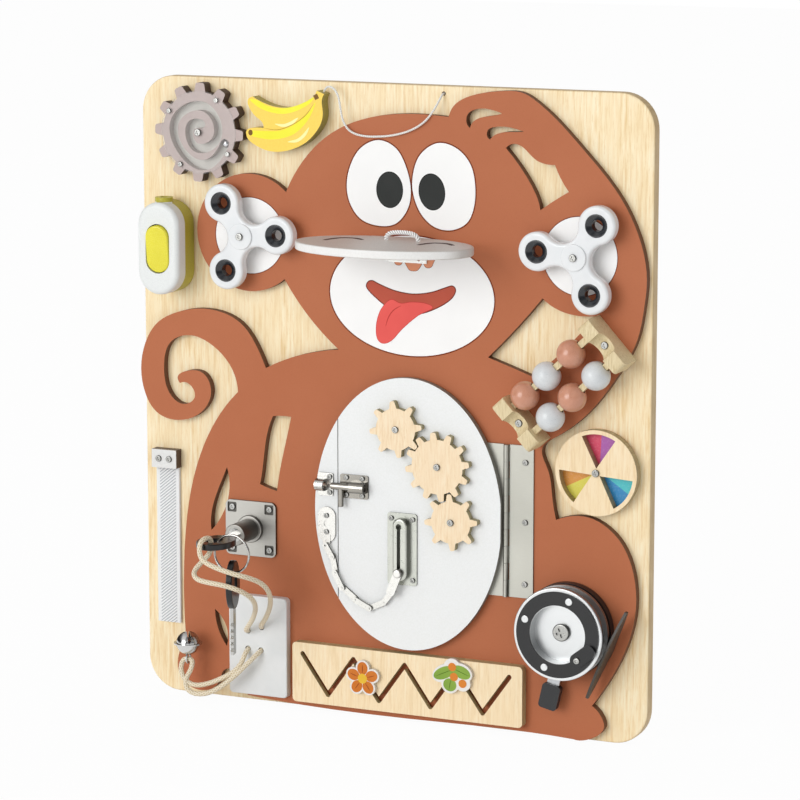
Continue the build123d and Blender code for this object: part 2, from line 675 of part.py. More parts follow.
screws += spinner("spinner_left", SPIN_L_X, SPIN_L_Z, SPIN_L_TURN)
screws += spinner("spinner_right", SPIN_R_X, SPIN_R_Z, SPIN_R_TURN)

# ---------------------------------------------------------------- spiral gear
spiral_back = BOARD_T + SPIRAL_WASHER_T + SPIRAL_RUN
spiral_front = spiral_back + SPIRAL_T
teeth = gear(SPIRAL_TEETH, SPIRAL_ROOT_R, SPIRAL_TIP_R, SPIRAL_TOOTH, SPIRAL_TIP, SPIRAL_ROUND, SPIRAL_PHASE)
wheel = slab(teeth, spiral_back, SPIRAL_T, SPIRAL_X, SPIRAL_Z)
mid_run = [polar(0, 0, r, CHANNEL_START - 90 * i) for i, r in enumerate(CHANNEL_R)]
inner_run = [polar(0, 0, r - CHANNEL_W / 2, CHANNEL_START - 90 * i) for i, r in enumerate(CHANNEL_R)]
outer_run = [polar(0, 0, r + CHANNEL_W / 2, CHANNEL_START - 90 * i) for i, r in enumerate(CHANNEL_R)]
inner_edge = Spline(*inner_run)
outer_edge = Spline(*outer_run)
channel_ends = [Line(inner_run[0], outer_run[0]), Line(inner_run[-1], outer_run[-1])]
channel = make_face([inner_edge, outer_edge] + channel_ends)
channel += Pos(*mid_run[0]) * Circle(CHANNEL_W / 2)
channel += Pos(*mid_run[-1]) * Circle(CHANNEL_W / 2 - 0.4)
wheel -= slab(channel, spiral_back + CHANNEL_FLOOR, SPIRAL_T, SPIRAL_X, SPIRAL_Z)
cover_spots = [polar(SPIRAL_X, SPIRAL_Z, COVER_SCREW_R, SPIRAL_PHASE + 60 + 90 * i) for i in range(4)]
cover_front = spiral_front + COVER_T
wheel = drill(wheel, cover_spots, cover_front, COVER_T + BITE, COVER_SHANK_R)
wheel -= rod(SPIRAL_X, SPIRAL_Z, spiral_back - 1, SPIRAL_T + 2, SPIN_AXLE_R + RUN)
keep("spiral_gear", wheel)
cover = rod(SPIRAL_X, SPIRAL_Z, spiral_front, COVER_T, COVER_R)
cover -= rod(SPIRAL_X, SPIRAL_Z, spiral_front - 1, COVER_T + 2, SPIN_AXLE_R + RUN)
cover = drill(cover, cover_spots, cover_front, COVER_T + BITE, COVER_SHANK_R)
keep("spiral_cover", cover)
ball_x, ball_z = polar(SPIRAL_X, SPIRAL_Z, CHANNEL_R[0], CHANNEL_START)
ball_y = -(spiral_back + CHANNEL_FLOOR + BALL_R)
keep("spiral_ball", Pos(ball_x, ball_y, ball_z) * Sphere(BALL_R))
cover_screw = (cover_front, COVER_T + BITE, COVER_HEAD_R, COVER_SHANK_R, COVER_HEAD_H)
keep("spiral_screws", *[screw(x, z, *cover_screw) for x, z in cover_spots])
washer = rod(SPIRAL_X, SPIRAL_Z, BOARD_T, SPIRAL_WASHER_T, SPIRAL_WASHER_R)
washer -= rod(SPIRAL_X, SPIRAL_Z, BOARD_T - 1, 3, SPIN_AXLE_R + SNUG)
screws += [washer, screw(SPIRAL_X, SPIRAL_Z, cover_front + AIR, cover_front + AIR - BOARD_T + BITE,
                         AXLE_HEAD_R, SPIN_AXLE_R)]

# ---------------------------------------------------------------- bananas and cord
bananas = slab(outline(BANANAS), BOARD_T + AIR, BANANA_T)
cord_start = [Vector(x, -d, z) for x, z, d in CORD_ROUTE[:2]]
cord_bore = Plane(origin=cord_start[0], z_dir=cord_start[1] - cord_start[0]) * Circle(CORD_R + SNUG)
bananas -= extrude(cord_bore, (cord_start[1] - cord_start[0]).length)
keep("bananas", bananas)
cord_end = [(CORD_HOLE_X, cord_hole_z, 12.2), (CORD_HOLE_X - 0.1, cord_hole_z - 0.1, 6.6),
            (CORD_HOLE_X, cord_hole_z, 1.2)]
keep("banana_cord", cord("banana_cord", CORD_ROUTE + cord_end, CORD_R))

# ---------------------------------------------------------------- muzzle flap
flap_low = FLAP_TOP - FLAP_T
flap_mid_y = -(FACE + FLAP_BACK + FLAP_D / 2)
flap = extrude(Plane(origin=(FLAP_X, flap_mid_y, flap_low)) * Ellipse(FLAP_W / 2, FLAP_D / 2), FLAP_T)
flap = fillet(flap.edges(), 1.2)
keep("flap", flap)

third = FLAP_LEAF_W / 3
left = FLAP_X - FLAP_LEAF_W / 2
right = FLAP_X + FLAP_LEAF_W / 2
bracket_top = flap_axis_z - FLAP_KNUCKLE_R - AIR
bracket = block(left, right, flap_axis_z - FLAP_LEAF_L, bracket_top, FACE, LEAF_T)
bracket = drill(bracket, flap_spots, FACE + LEAF_T, LEAF_T + BITE)
for x0 in (left, right - third + AIR):
    tab = block(x0, x0 + third - AIR, bracket_top - 1, flap_axis_z, FACE, LEAF_T)
    bracket += tab + bar_x(x0, x0 + third - AIR, flap_axis_d, flap_axis_z, FLAP_KNUCKLE_R)
bracket += bar_x(left, right, flap_axis_d, flap_axis_z, FLAP_PIN_R)
keep("flap_bracket", bracket)
leaf_y0 = -(flap_axis_d + FLAP_LEAF_L)
leaf_z = flap_low - LEAF_T / 2
leaf = Pos(FLAP_X, leaf_y0 + FLAP_LEAF_L / 2, leaf_z) * Box(third - AIR, FLAP_LEAF_L, LEAF_T)
leaf += Pos(FLAP_X, leaf_y0 + FLAP_LEAF_REST / 2, leaf_z) * Box(FLAP_LEAF_W, FLAP_LEAF_REST, LEAF_T)
leaf += bar_x(left + third + AIR / 2, right - third - AIR / 2, flap_axis_d, flap_axis_z, FLAP_KNUCKLE_R)
leaf -= bar_x(left, right, flap_axis_d, flap_axis_z, FLAP_PIN_R + RUN)
keep("flap_leaf", leaf)
handle_y = -(FACE + HANDLE_D)
handle_z = FLAP_TOP + HANDLE_RISE
handle_rise = [(HANDLE_X0, handle_y, FLAP_TOP), (HANDLE_X0 + HANDLE_SLOPE, handle_y, handle_z)]
handle_fall = [(HANDLE_X1 - HANDLE_SLOPE, handle_y, handle_z), (HANDLE_X1, handle_y, FLAP_TOP)]
handle_path = FilletPolyline(*handle_rise, *handle_fall, radius=3.0)
handle = sweep(Plane(origin=handle_path @ 0, z_dir=handle_path % 0) * Circle(HANDLE_R), path=handle_path)
handle_room = Pos(FLAP_X, handle_y, FLAP_TOP + HANDLE_RISE) * Box(FLAP_W, FLAP_D, 2 * HANDLE_RISE)
keep("flap_handle", handle & handle_room)

# ---------------------------------------------------------------- bead frame
rod_depth = FACE + ROD_H
blocks = []
bead_rods = []
inner = BEAD_SPAN - BLOCK_W / 2
for s in (1, -1):
    cx = BEAD_MID_X + s * BEAD_SPAN * bead_ux
    cz = BEAD_MID_Z + s * BEAD_SPAN * bead_uz
    piece = slab(Rectangle(BLOCK_W, BLOCK_L), FACE, BLOCK_H, cx, cz, BEAD_TURN)
    scoop_depth = FACE + BLOCK_H - SCOOP_DEEP + SCOOP_R
    scoop = towards(cx, scoop_depth, cz, (bead_ux, 0, bead_uz)) * Circle(SCOOP_R)
    piece -= extrude(scoop, BLOCK_W, both=True)
    across = piece.edges().filter_by(lambda e: abs(e.length - BLOCK_W) < 0.01)
    corners = across.filter_by_position(Axis.Y, -(FACE + BLOCK_H) - 0.01, -(FACE + BLOCK_H) + 0.01)
    far = sorted(corners, key=lambda e: -(e.center() - Vector(cx, -FACE, cz)).length)[:2]
    piece = fillet(far, BLOCK_ROUND)
    for side in (1, -1):
        rx = cx - side * ROD_GAP / 2 * bead_uz
        rz = cz + side * ROD_GAP / 2 * bead_ux
        back = BLOCK_W / 2 + 1 - ROD_SEAT / 2
        hole = slab(Rectangle(ROD_SEAT + 2, ROD_S + 2 * SNUG), rod_depth - ROD_S / 2 - SNUG, ROD_S + 2 * SNUG,
                    rx - s * back * bead_ux, rz - s * back * bead_uz, BEAD_TURN)
        piece -= hole
    piece = drill(piece, [(cx, cz)], FACE + BLOCK_H, BLOCK_H)
    piece -= rod(cx, cz, FACE + BLOCK_H - SCOOP_DEEP, SCOOP_DEEP, BLOCK_HEAD_R + 0.2)
    blocks.append(piece)
    screws.append(screw(cx, cz, FACE + BLOCK_H - SCOOP_DEEP, BLOCK_H - SCOOP_DEEP + BITE, BLOCK_HEAD_R))
rod_l = 2 * (inner + ROD_SEAT) - 0.2
for k, side in enumerate((1, -1)):
    rx = BEAD_MID_X - side * ROD_GAP / 2 * bead_uz
    rz = BEAD_MID_Z + side * ROD_GAP / 2 * bead_ux
    bead_rods.append(slab(Rectangle(rod_l, ROD_S), rod_depth - ROD_S / 2, ROD_S, rx, rz, BEAD_TURN))
    for j, u in enumerate(ROD_BEADS[k]):
        bx = rx + u * bead_ux
        bz = rz + u * bead_uz
        bead = Pos(bx, -rod_depth, bz) * Sphere(BEAD_R)
        through = towards(bx, rod_depth, bz, (bead_ux, 0, bead_uz)) * Circle(BEAD_HOLE_R)
        bead -= extrude(through, BEAD_R + 1, both=True)
        keep("bead_%d" % (3 * k + j + 1), bead)
keep("bead_frame", *blocks, *bead_rods)

# ---------------------------------------------------------------- colour wheel
disc = rod(WHEEL_X, WHEEL_Z, BOARD_T, DISC_T, DISC_R)
disc -= rod(WHEEL_X, WHEEL_Z, BOARD_T - 1, DISC_T + 2, SPIN_AXLE_R + SNUG)
keep("colour_disc", disc)
wheel_back = BOARD_T + DISC_T + AIR
wheel_face = Circle(WHEEL_R)
for i in range(3):
    start = WINDOW_FIRST + 120 * i
    a = polar(0, 0, WINDOW_R, start)
    b = polar(0, 0, WINDOW_R, start + WINDOW_ANGLE)
    mid = polar(0, 0, WINDOW_R, start + WINDOW_ANGLE / 2)
    hub = polar(0, 0, WINDOW_HUB, start + WINDOW_ANGLE / 2)
    wheel_face -= make_face([Line(hub, a), ThreePointArc(a, mid, b), Line(b, hub)])
colour_wheel = slab(wheel_face, wheel_back, WHEEL_T, WHEEL_X, WHEEL_Z)
colour_wheel -= rod(WHEEL_X, WHEEL_Z, wheel_back - 1, WHEEL_T + 2, SPIN_AXLE_R + RUN)
keep("colour_wheel", colour_wheel)
wheel_front = wheel_back + WHEEL_T
wheel_seat = wheel_front + AIR
screws.append(screw(WHEEL_X, WHEEL_Z, wheel_seat, wheel_seat - BOARD_T + BITE, AXLE_HEAD_R, SPIN_AXLE_R))

# ---------------------------------------------------------------- belly: strip, door and hinge
belly_z = ZIG_Z1 + BELLY_GAP + BELLY_H / 2
oval = Pos(BELLY_X, belly_z) * Ellipse(BELLY_W / 2, BELLY_H / 2)
far_x = BELLY_X - BELLY_W / 2 - 1
door_x1 = HINGE_X - HINGE_R - AIR - 0.1
left_part = Pos((far_x + SPLIT_X) / 2, belly_z) * Rectangle(SPLIT_X - far_x, BELLY_H + 2)
door_x0 = SPLIT_X + SPLIT_GAP
door_part = Pos((door_x0 + door_x1) / 2, belly_z) * Rectangle(door_x1 - door_x0, BELLY_H + 2)
strip = slab(oval & left_part, FACE, belly_face - FACE)
strip = drill(strip, anchor_spots + keeper_spots, belly_face, BITE)
keep("belly_strip", strip)

big_turn = 180.0 / BIG_TEETH
gear_1 = polar(GEAR_X, GEAR_Z, GEAR_SPACING, GEAR_LINE_1)
gear_3 = polar(GEAR_X, GEAR_Z, GEAR_SPACING, GEAR_LINE_3)
gear_spots = [gear_1, (GEAR_X, GEAR_Z), gear_3]
bolt_side = BOLT_HOUSE_R + AIR + SMALL_HEAD_R
bolt_spots = [(x, BOLT_Z + s * bolt_side) for x in (BOLT_X0 + 5.0, BOLT_X1 - 4.4) for s in (1, -1)]
track_spots = [(x, TRACK_TOP - TRACK_SCREW_Z) for x in (TRACK_X0 + TRACK_SCREW_X, TRACK_X1 - TRACK_SCREW_X)]
track_spots.append((TRACK_X1 - TRACK_SCREW_X, TRACK_LOW + TRACK_SCREW_Z))
door_back = FACE + LEAF_GAP + HINGE_T
door = slab(oval & door_part, door_back, DOOR_T)
door = drill(door, bolt_spots + track_spots, belly_face, BITE)
door = drill(door, gear_spots, belly_face, BITE, GEAR_AXLE_R)
keep("belly_door", door)

hinge_depth = FACE + HINGE_R + 0.3
span = HINGE_TOP - HINGE_LOW
pitch = span / 9


def hinge_barrel(z0, z1, r):
    return extrude(towards(HINGE_X, hinge_depth, z0, (0, 0, 1)) * Circle(r), z1 - z0)


panel_leaf = block(HINGE_X + HINGE_R + AIR, HINGE_OUT, HINGE_LOW, HINGE_TOP, FACE, HINGE_T)
panel_leaf = drill(panel_leaf, HINGE_SCREWS, FACE + HINGE_T, HINGE_T + BITE)
door_leaf = block(HINGE_IN, HINGE_X - HINGE_R - AIR, HINGE_LOW, HINGE_TOP, FACE + LEAF_GAP, HINGE_T)
for i in range(9):
    z0 = HINGE_LOW + i * pitch + 0.1
    z1 = z0 + pitch - 0.2
    if i % 2 == 0:
        panel_leaf += block(HINGE_X, HINGE_X + HINGE_R + AIR + 1, z0, z1, FACE + LEAF_GAP, HINGE_T - LEAF_GAP)
        panel_leaf += hinge_barrel(z0, z1, HINGE_R)
    else:
        door_leaf += block(HINGE_X - HINGE_R - AIR - 1, HINGE_X, z0, z1, FACE + LEAF_GAP, HINGE_T)
        door_leaf += hinge_barrel(z0, z1, HINGE_R)
panel_leaf -= hinge_barrel(HINGE_LOW - 1, HINGE_TOP + 1, HINGE_PIN_R + SNUG)
door_leaf -= hinge_barrel(HINGE_LOW - 1, HINGE_TOP + 1, HINGE_PIN_R + RUN)
hinge_pin = hinge_barrel(HINGE_LOW, HINGE_TOP, HINGE_PIN_R)
keep("hinge_panel_leaf", panel_leaf, hinge_pin)
keep("hinge_door_leaf", door_leaf)

# ---------------------------------------------------------------- belly gears
gear_back = belly_face + AIR
small = (SMALL_TEETH, SMALL_ROOT_R, SMALL_TIP_R, SMALL_BASE, SMALL_TIP, GEAR_TIP_ROUND)
big_phase = GEAR_LINE_1 + big_turn
small_1_phase = GEAR_LINE_1 + 180.0
gap = big_phase + big_turn + round((GEAR_LINE_3 - big_phase - big_turn) / (2 * big_turn)) * 2 * big_turn
small_3_phase = GEAR_LINE_3 + 180.0 - (gap - GEAR_LINE_3) * BIG_TEETH / SMALL_TEETH
gear_shapes = [gear(*small, small_1_phase),
               gear(BIG_TEETH, BIG_ROOT_R, BIG_TIP_R, BIG_BASE, BIG_TIP, GEAR_TIP_ROUND, big_phase),
               gear(*small, small_3_phase)]
door_screws = []
for i, (spot, shape) in enumerate(zip(gear_spots, gear_shapes)):
    wheel = slab(shape, gear_back, GEAR_T, spot[0], spot[1])
    wheel -= rod(spot[0], spot[1], gear_back - 1, GEAR_T + 2, GEAR_AXLE_R + RUN)
    keep("gear_%d" % (i + 1), wheel)
    axle = (gear_back + GEAR_T + AIR, GEAR_T + 2 * AIR + BITE, GEAR_HEAD_R, GEAR_AXLE_R)
    door_screws.append(screw(spot[0], spot[1], *axle))

# ---------------------------------------------------------------- barrel bolt
plate_top = belly_face + STEEL_T
bolt_depth = plate_top + BOLT_HOUSE_R - 0.6


def tunnel(x0, x1, r):
    """Half-round housing over the bolt, sunk 0.5 mm into its plate."""
    sunk = plate_top - 0.5
    wall = block(x0, x1, BOLT_Z - r, BOLT_Z + r, sunk, bolt_depth - sunk)
    return bar_x(x0, x1, bolt_depth, BOLT_Z, r) + wall


bolt_plate = block(BOLT_X0, BOLT_X1, BOLT_Z - BOLT_H / 2, BOLT_Z + BOLT_H / 2, belly_face, STEEL_T, 1.5)
bolt_plate += tunnel(BOLT_X0 + BOLT_HOUSE_IN, BOLT_X1 - 1.2, BOLT_HOUSE_R)
bolt_plate -= bar_x(BOLT_X0 - 5, BOLT_X1 + 5, bolt_depth, BOLT_Z, BOLT_R + RUN)
bolt_plate = drill(bolt_plate, bolt_spots, plate_top, STEEL_T + BITE)
keep("bolt_plate", bolt_plate)
bolt_tip = KEEPER_X1 + AIR
knob_x = BOLT_X0 + 2.2
bolt = bar_x(bolt_tip, BOLT_X1 - 2.0, bolt_depth, BOLT_Z, BOLT_R)
bolt = chamfer(bolt.edges().filter_by_position(Axis.X, bolt_tip - 0.01, bolt_tip + 0.01), 0.6)
knob = extrude(towards(knob_x, bolt_depth, BOLT_Z, (0, 0, -1)) * Circle(KNOB_R), KNOB_L)
bolt += fillet(knob.edges().group_by(Axis.Z)[0], 0.8)
keep("bolt_rod", bolt)
loop_r = BOLT_R + 0.5
keeper = block(KEEPER_X0, KEEPER_X1, BOLT_Z - KEEPER_H / 2, BOLT_Z + KEEPER_H / 2, belly_face, STEEL_T, 1.2)
keeper += tunnel(KEEPER_X0 + 0.4, KEEPER_X0 + 0.4 + KEEPER_LOOP_W, loop_r + STEEL_T)
keeper -= bar_x(KEEPER_X0 - 2, KEEPER_X1 + 2, bolt_depth, BOLT_Z, loop_r)
keeper = drill(keeper, keeper_spots, plate_top, STEEL_T + BITE)

# ---------------------------------------------------------------- door chain
anchor_mid = (ANCHOR_TOP + ANCHOR_LOW) / 2
anchor = SlotOverall(ANCHOR_TOP - ANCHOR_LOW, ANCHOR_W, rotation=90)
anchor = slab(anchor, belly_face, STEEL_T, ANCHOR_X, anchor_mid)
tongue_low = CHAIN_ROUTE[0][1] + 1.0
tongue_top = anchor_spots[1][1] - SMALL_HEAD_R - AIR
tongue_x = ANCHOR_X - TONGUE_W / 2
anchor += block(tongue_x, tongue_x + TONGUE_W, tongue_low, tongue_top, belly_face, STEEL_T + 0.4)
anchor -= rod(ANCHOR_X, anchor_mid + 0.6, belly_face + STEEL_T - 0.5, 2, 2.2)
anchor = drill(anchor, anchor_spots, plate_top, STEEL_T + BITE)
keep("strip_fittings", keeper, anchor)

link_low = belly_face + 0.5
link_high = link_low + LINK_T + 0.15
links = []
for i, (a, b) in enumerate(zip(CHAIN_ROUTE, CHAIN_ROUTE[1:])):
    length = math.hypot(b[0] - a[0], b[1] - a[1])
    turn = math.degrees(math.atan2(b[1] - a[1], b[0] - a[0]))
    mx = (a[0] + b[0]) / 2
    mz = (a[1] + b[1]) / 2
    shape = SlotCenterToCenter(length, LINK_W)
    if i % 2 == 0:
        link = slab(shape, link_high, LINK_T, mx, mz, turn)
        for spot in (a, b):
            link -= rod(spot[0], spot[1], link_high - 1, LINK_T + 2, LINK_PIN_R + SNUG)
    else:
        link = slab(shape, link_low, LINK_T, mx, mz, turn)
        for spot in (a, b):
            link += rod(spot[0], spot[1], link_low + LINK_T / 2, LINK_T * 1.5 + 0.5, LINK_PIN_R)
    links.append(link)
track_face = plate_top + TRACK_H
chain_end = CHAIN_ROUTE[-1]
tag_depth = track_face + AIR
slot_x = TRACK_X - 0.6
stem_z = TRACK_SLOT_LOW + TRACK_SLOT / 2 + 0.2
tag_turn = math.degrees(math.atan2(stem_z - chain_end[1], slot_x - chain_end[0]))
tag_len = math.hypot(stem_z - chain_end[1], slot_x - chain_end[0])
tag_x = (slot_x + chain_end[0]) / 2
tag_z = (stem_z + chain_end[1]) / 2
tag = slab(SlotCenterToCenter(tag_len, 6.4), tag_depth, 1.2, tag_x, tag_z, tag_turn)
tag += rod(slot_x, stem_z, plate_top + 1.5, tag_depth - plate_top - 1.0, TRACK_SLOT / 2 - 0.15)
tag += rod(chain_end[0], chain_end[1], link_high + 0.1, tag_depth - link_high, LINK_PIN_R)
tag += soft(rod(slot_x, stem_z, tag_depth + 1.0, 2.4, 3.2), tag_depth + 3.4, 1.2)
keep("door_chain", *links, tag)

# chain track on the door
track = block(TRACK_X0, TRACK_X1, TRACK_LOW, TRACK_TOP, belly_face, STEEL_T, 2.0)
track_mid = (TRACK_SLOT_TOP + TRACK_SLOT_LOW) / 2
rail_l = TRACK_SLOT_TOP - TRACK_SLOT_LOW + 9
rail = slab(SlotOverall(rail_l, TRACK_W, rotation=90), plate_top - 0.2, TRACK_H + 0.2, TRACK_X, track_mid)
rail = soft(rail, track_face, 1.5)
slot = slab(SlotCenterToCenter(TRACK_SLOT_TOP - TRACK_SLOT_LOW - TRACK_SLOT, TRACK_SLOT, rotation=90),
            plate_top, TRACK_H + 1, slot_x, track_mid)
rail -= slot
rail -= rod(slot_x, TRACK_SLOT_TOP - 1.6, plate_top, TRACK_H + 1, 2.2)
track += rail
track = drill(track, track_spots, plate_top, STEEL_T + BITE)
keep("chain_track", track)
door_screws += [screw(x, z, plate_top, STEEL_T + BITE, SMALL_HEAD_R) for x, z in bolt_spots + track_spots]
keep("door_screws", *door_screws)
screws += [screw(x, z, plate_top, STEEL_T + BITE, SMALL_HEAD_R) for x, z in keeper_spots + anchor_spots]
screws += [screw(x, z, FACE + HINGE_T, HINGE_T + BITE) for x, z in HINGE_SCREWS]

# ---------------------------------------------------------------- zigzag plate and tokens
knots = [(SLOT_FIRST + i * SLOT_STEP, SLOT_TOP if i % 2 == 0 else SLOT_LOW) for i in range(SLOT_LEGS + 1)]
zig = block(ZIG_X0, ZIG_X1, ZIG_Z0, ZIG_Z1, FACE, ZIG_T, ZIG_CORNER)
leg_l = math.hypot(SLOT_STEP, SLOT_TOP - SLOT_LOW)
for a, b in zip(knots, knots[1:]):
    turn = math.degrees(math.atan2(b[1] - a[1], b[0] - a[0]))
    mx = (a[0] + b[0]) / 2
    mz = (a[1] + b[1]) / 2
    zig -= slab(SlotCenterToCenter(leg_l, SLOT_W), FACE - 1, ZIG_T + 2, mx, mz, turn)
    zig -= slab(SlotCenterToCenter(leg_l, SLOT_BED_W), FACE - 1, SLOT_BED_T + 1, mx, mz, turn)
keep("zigzag_plate", zig)


def token(name, x, shape):
    leg = int((x - SLOT_FIRST) / SLOT_STEP)
    a = knots[leg]
    b = knots[leg + 1]
    z = a[1] + (b[1] - a[1]) * (x - a[0]) / (b[0] - a[0])
    back = FACE + ZIG_T + AIR
    piece = slab(shape, back, TOKEN_T, x, z)
    piece += rod(x, z, FACE + AIR, ZIG_T + 0.5, STEM_R)
    piece += rod(x, z, FACE + AIR, BUTTON_T, BUTTON_R)
    keep(name, piece)


flower = Circle(7.0)
for i in range(5):
    flower += Pos(*polar(0, 0, 8.0, 90 + 72 * i)) * Circle(5.2)
token("token_flower", FLOWER_X, flower)
sprig = Pos(-5.5, 1.5) * Rot(0, 0, 25) * Ellipse(10.0, 6.2)
sprig += Pos(7.0, 3.0) * Rot(0, 0, -20) * Ellipse(8.6, 6.4)
sprig += Pos(-1.5, -6.2) * Circle(6.6)
sprig += Pos(8.2, -4.6) * Circle(5.8)
sprig += Pos(0, 6.0) * Circle(6.4)
token("token_sprig", SPRIG_X, sprig)

# ---------------------------------------------------------------- lock and keys
plate = slab(RectangleRounded(LOCK_S, LOCK_S, LOCK_CORNER), FACE, LOCK_T, LOCK_X, LOCK_Z)
lock_face = FACE + LOCK_T
for x, z in lock_spots:
    plate -= block(x - 3.6, x + 3.6, z - 3.6, z + 3.6, lock_face - 1.0, 2, 1.0)
plate = drill(plate, lock_spots, lock_face - 1.0, LOCK_T + BITE)
body = soft(rod(LOCK_X, LOCK_Z, lock_face, COLLAR_T, COLLAR_R), lock_face + COLLAR_T, 1.0)
body += soft(rod(LOCK_X, LOCK_Z, lock_face, BARREL_FRONT - lock_face, BARREL_R), BARREL_FRONT, 0.8)
body += plate
body -= rod(LOCK_X, LOCK_Z, BARREL_FRONT - PLUG_L - AIR, PLUG_L + 2, PLUG_R + RUN)
keep("lock_body", body)
screws += [screw(x, z, lock_face - 1.0, LOCK_T - 1.0 + BITE, 2.3) for x, z in lock_spots]
plug = rod(LOCK_X, LOCK_Z, BARREL_FRONT - PLUG_L, PLUG_L, PLUG_R)
plug += block(LOCK_X - BLADE_W / 2, LOCK_X + BLADE_W / 2, LOCK_Z - BLADE_T / 2, LOCK_Z + BLADE_T / 2,
              BARREL_FRONT - 1, BOW_NECK + 1 - BARREL_FRONT)


def bow_sketch():
    shape = Ellipse(BOW_L / 2, BOW_W / 2)
    hole_mid = BOW_L / 2 - BOW_RIM - BOW_HOLE_L / 2
    return shape - Pos(hole_mid, 0) * SlotOverall(BOW_HOLE_L, BOW_HOLE_W)


bow_origin = (LOCK_X, -(BOW_NECK + BOW_L / 2), LOCK_Z - BOW_T / 2)
bow_plane = Plane(origin=bow_origin, x_dir=(0, -1, 0), z_dir=(0, 0, 1))
bow = extrude(bow_plane * bow_sketch(), BOW_T)
bow = fillet(bow.edges().group_by(Axis.Z)[0], 0.8)
bow = fillet(bow.edges().group_by(Axis.Z)[-1], 0.8)
bow -= plug
keep("key_blade", plug)
keep("key_bow", bow)
ring = Pos(RING_X, -RING_DEPTH, RING_Z) * Rot(90, 0, 0) * Torus(RING_MID_R, WIRE_R)
keep("key_ring", ring)
spare_x = RING_X + SPARE_OFFSET
ring_rise = (SPARE_OFFSET + BOW_T / 2) ** 2 / (2 * RING_MID_R)
spare_top = RING_Z - RING_MID_R + WIRE_R + AIR + ring_rise + BOW_RIM
tilt = math.radians(SPARE_TILT)


def spare_plane(z):
    """Plane through the hanging key at a height, with its x axis upwards."""
    return Plane(origin=(spare_x, -RING_DEPTH, z), x_dir=(0, 0, 1), z_dir=(math.cos(tilt), math.sin(tilt), 0))


spare = extrude(spare_plane(spare_top - BOW_L / 2) * bow_sketch(), BOW_T / 2, both=True)
spare = fillet(spare.edges().filter_by(lambda e: e.length > 20), 0.8)
blade_plane = spare_plane(spare_top - BOW_L - SPARE_BLADE_L / 2 + BLADE_SUNK / 2)
blade = extrude(blade_plane * Rectangle(SPARE_BLADE_L + BLADE_SUNK, BLADE_W), BLADE_T / 2, both=True)
for i in range(NOTCHES):
    along = -SPARE_BLADE_L / 2 + (i + 0.5) * NOTCH_STEP
    notch = Pos(along, BLADE_W / 2) * Rot(0, 0, 45) * Rectangle(NOTCH_S, NOTCH_S)
    blade -= extrude(blade_plane * notch, BLADE_T, both=True)
spare -= blade
keep("spare_bow", spare)
keep("spare_blade", blade)

# ---------------------------------------------------------------- cord plate, ropes and bell
cord_plate = block(PLATE_X0, PLATE_X1, PLATE_Z0, PLATE_Z1, FACE, PLATE_T, PLATE_CORNER)
cord_plate = soft(cord_plate, FACE + PLATE_T, 0.8)
for hx, hz in ROPE_HOLES:
    cord_plate -= rod(hx, hz, FACE - 1, PLATE_T + 2, ROPE_R + 0.4)
keep("cord_plate", cord_plate)
keep("rope_upper", cord("rope_upper", UPPER_ROPE, ROPE_R))
keep("rope_lower", cord("rope_lower", LOWER_ROPE, ROPE_R))
bell_at = Pos(BELL_X, -BELL_DEPTH, BELL_Z)
bell = Sphere(BELL_R) + Cylinder(BELL_RIM_R, BELL_RIM_T)
bell -= Sphere(BELL_R - BELL_WALL)
for turn in (35, 125):
    bell -= Rot(0, 0, turn) * Pos(0, 0, BELL_R * 0.75) * Box(BELL_R * 2.2, BELL_SLIT, BELL_R)
bell += Pos(0, 0, -BELL_R - BELL_EYE_R + 1.0) * Rot(0, 90, 0) * Torus(BELL_EYE_R - 0.7, 0.7)
rattle = Pos(0, 0, -(BELL_R - BELL_WALL - BELL_BALL_R)) * Sphere(BELL_BALL_R)
keep("bell", bell_at * bell, bell_at * rattle)

# ---------------------------------------------------------------- webbing strap
strap = block(STRAP_X - STRAP_W / 2, STRAP_X + STRAP_W / 2, STRAP_LOW, STRAP_TOP, BOARD_T + AIR, STRAP_T)
strap = drill(strap, clamp_spots, BOARD_T + 5, 5)
keep("strap", strap)
clamp = block(STRAP_X - CLAMP_W / 2, STRAP_X + CLAMP_W / 2, CLAMP_LOW, CLAMP_TOP, BOARD_T, CLAMP_H)
room_w = STRAP_W + AIR
room = block(STRAP_X - room_w / 2, STRAP_X + room_w / 2, CLAMP_LOW - 1, STRAP_TOP + AIR / 2,
             BOARD_T - 1, STRAP_T + AIR + 1.05)
clamp -= room
clamp = drill(clamp, clamp_spots, BOARD_T + CLAMP_H, CLAMP_H)
keep("strap_clamp", clamp)
screws += [screw(x, z, BOARD_T + CLAMP_H, CLAMP_H + BITE, 2.3) for x, z in clamp_spots]

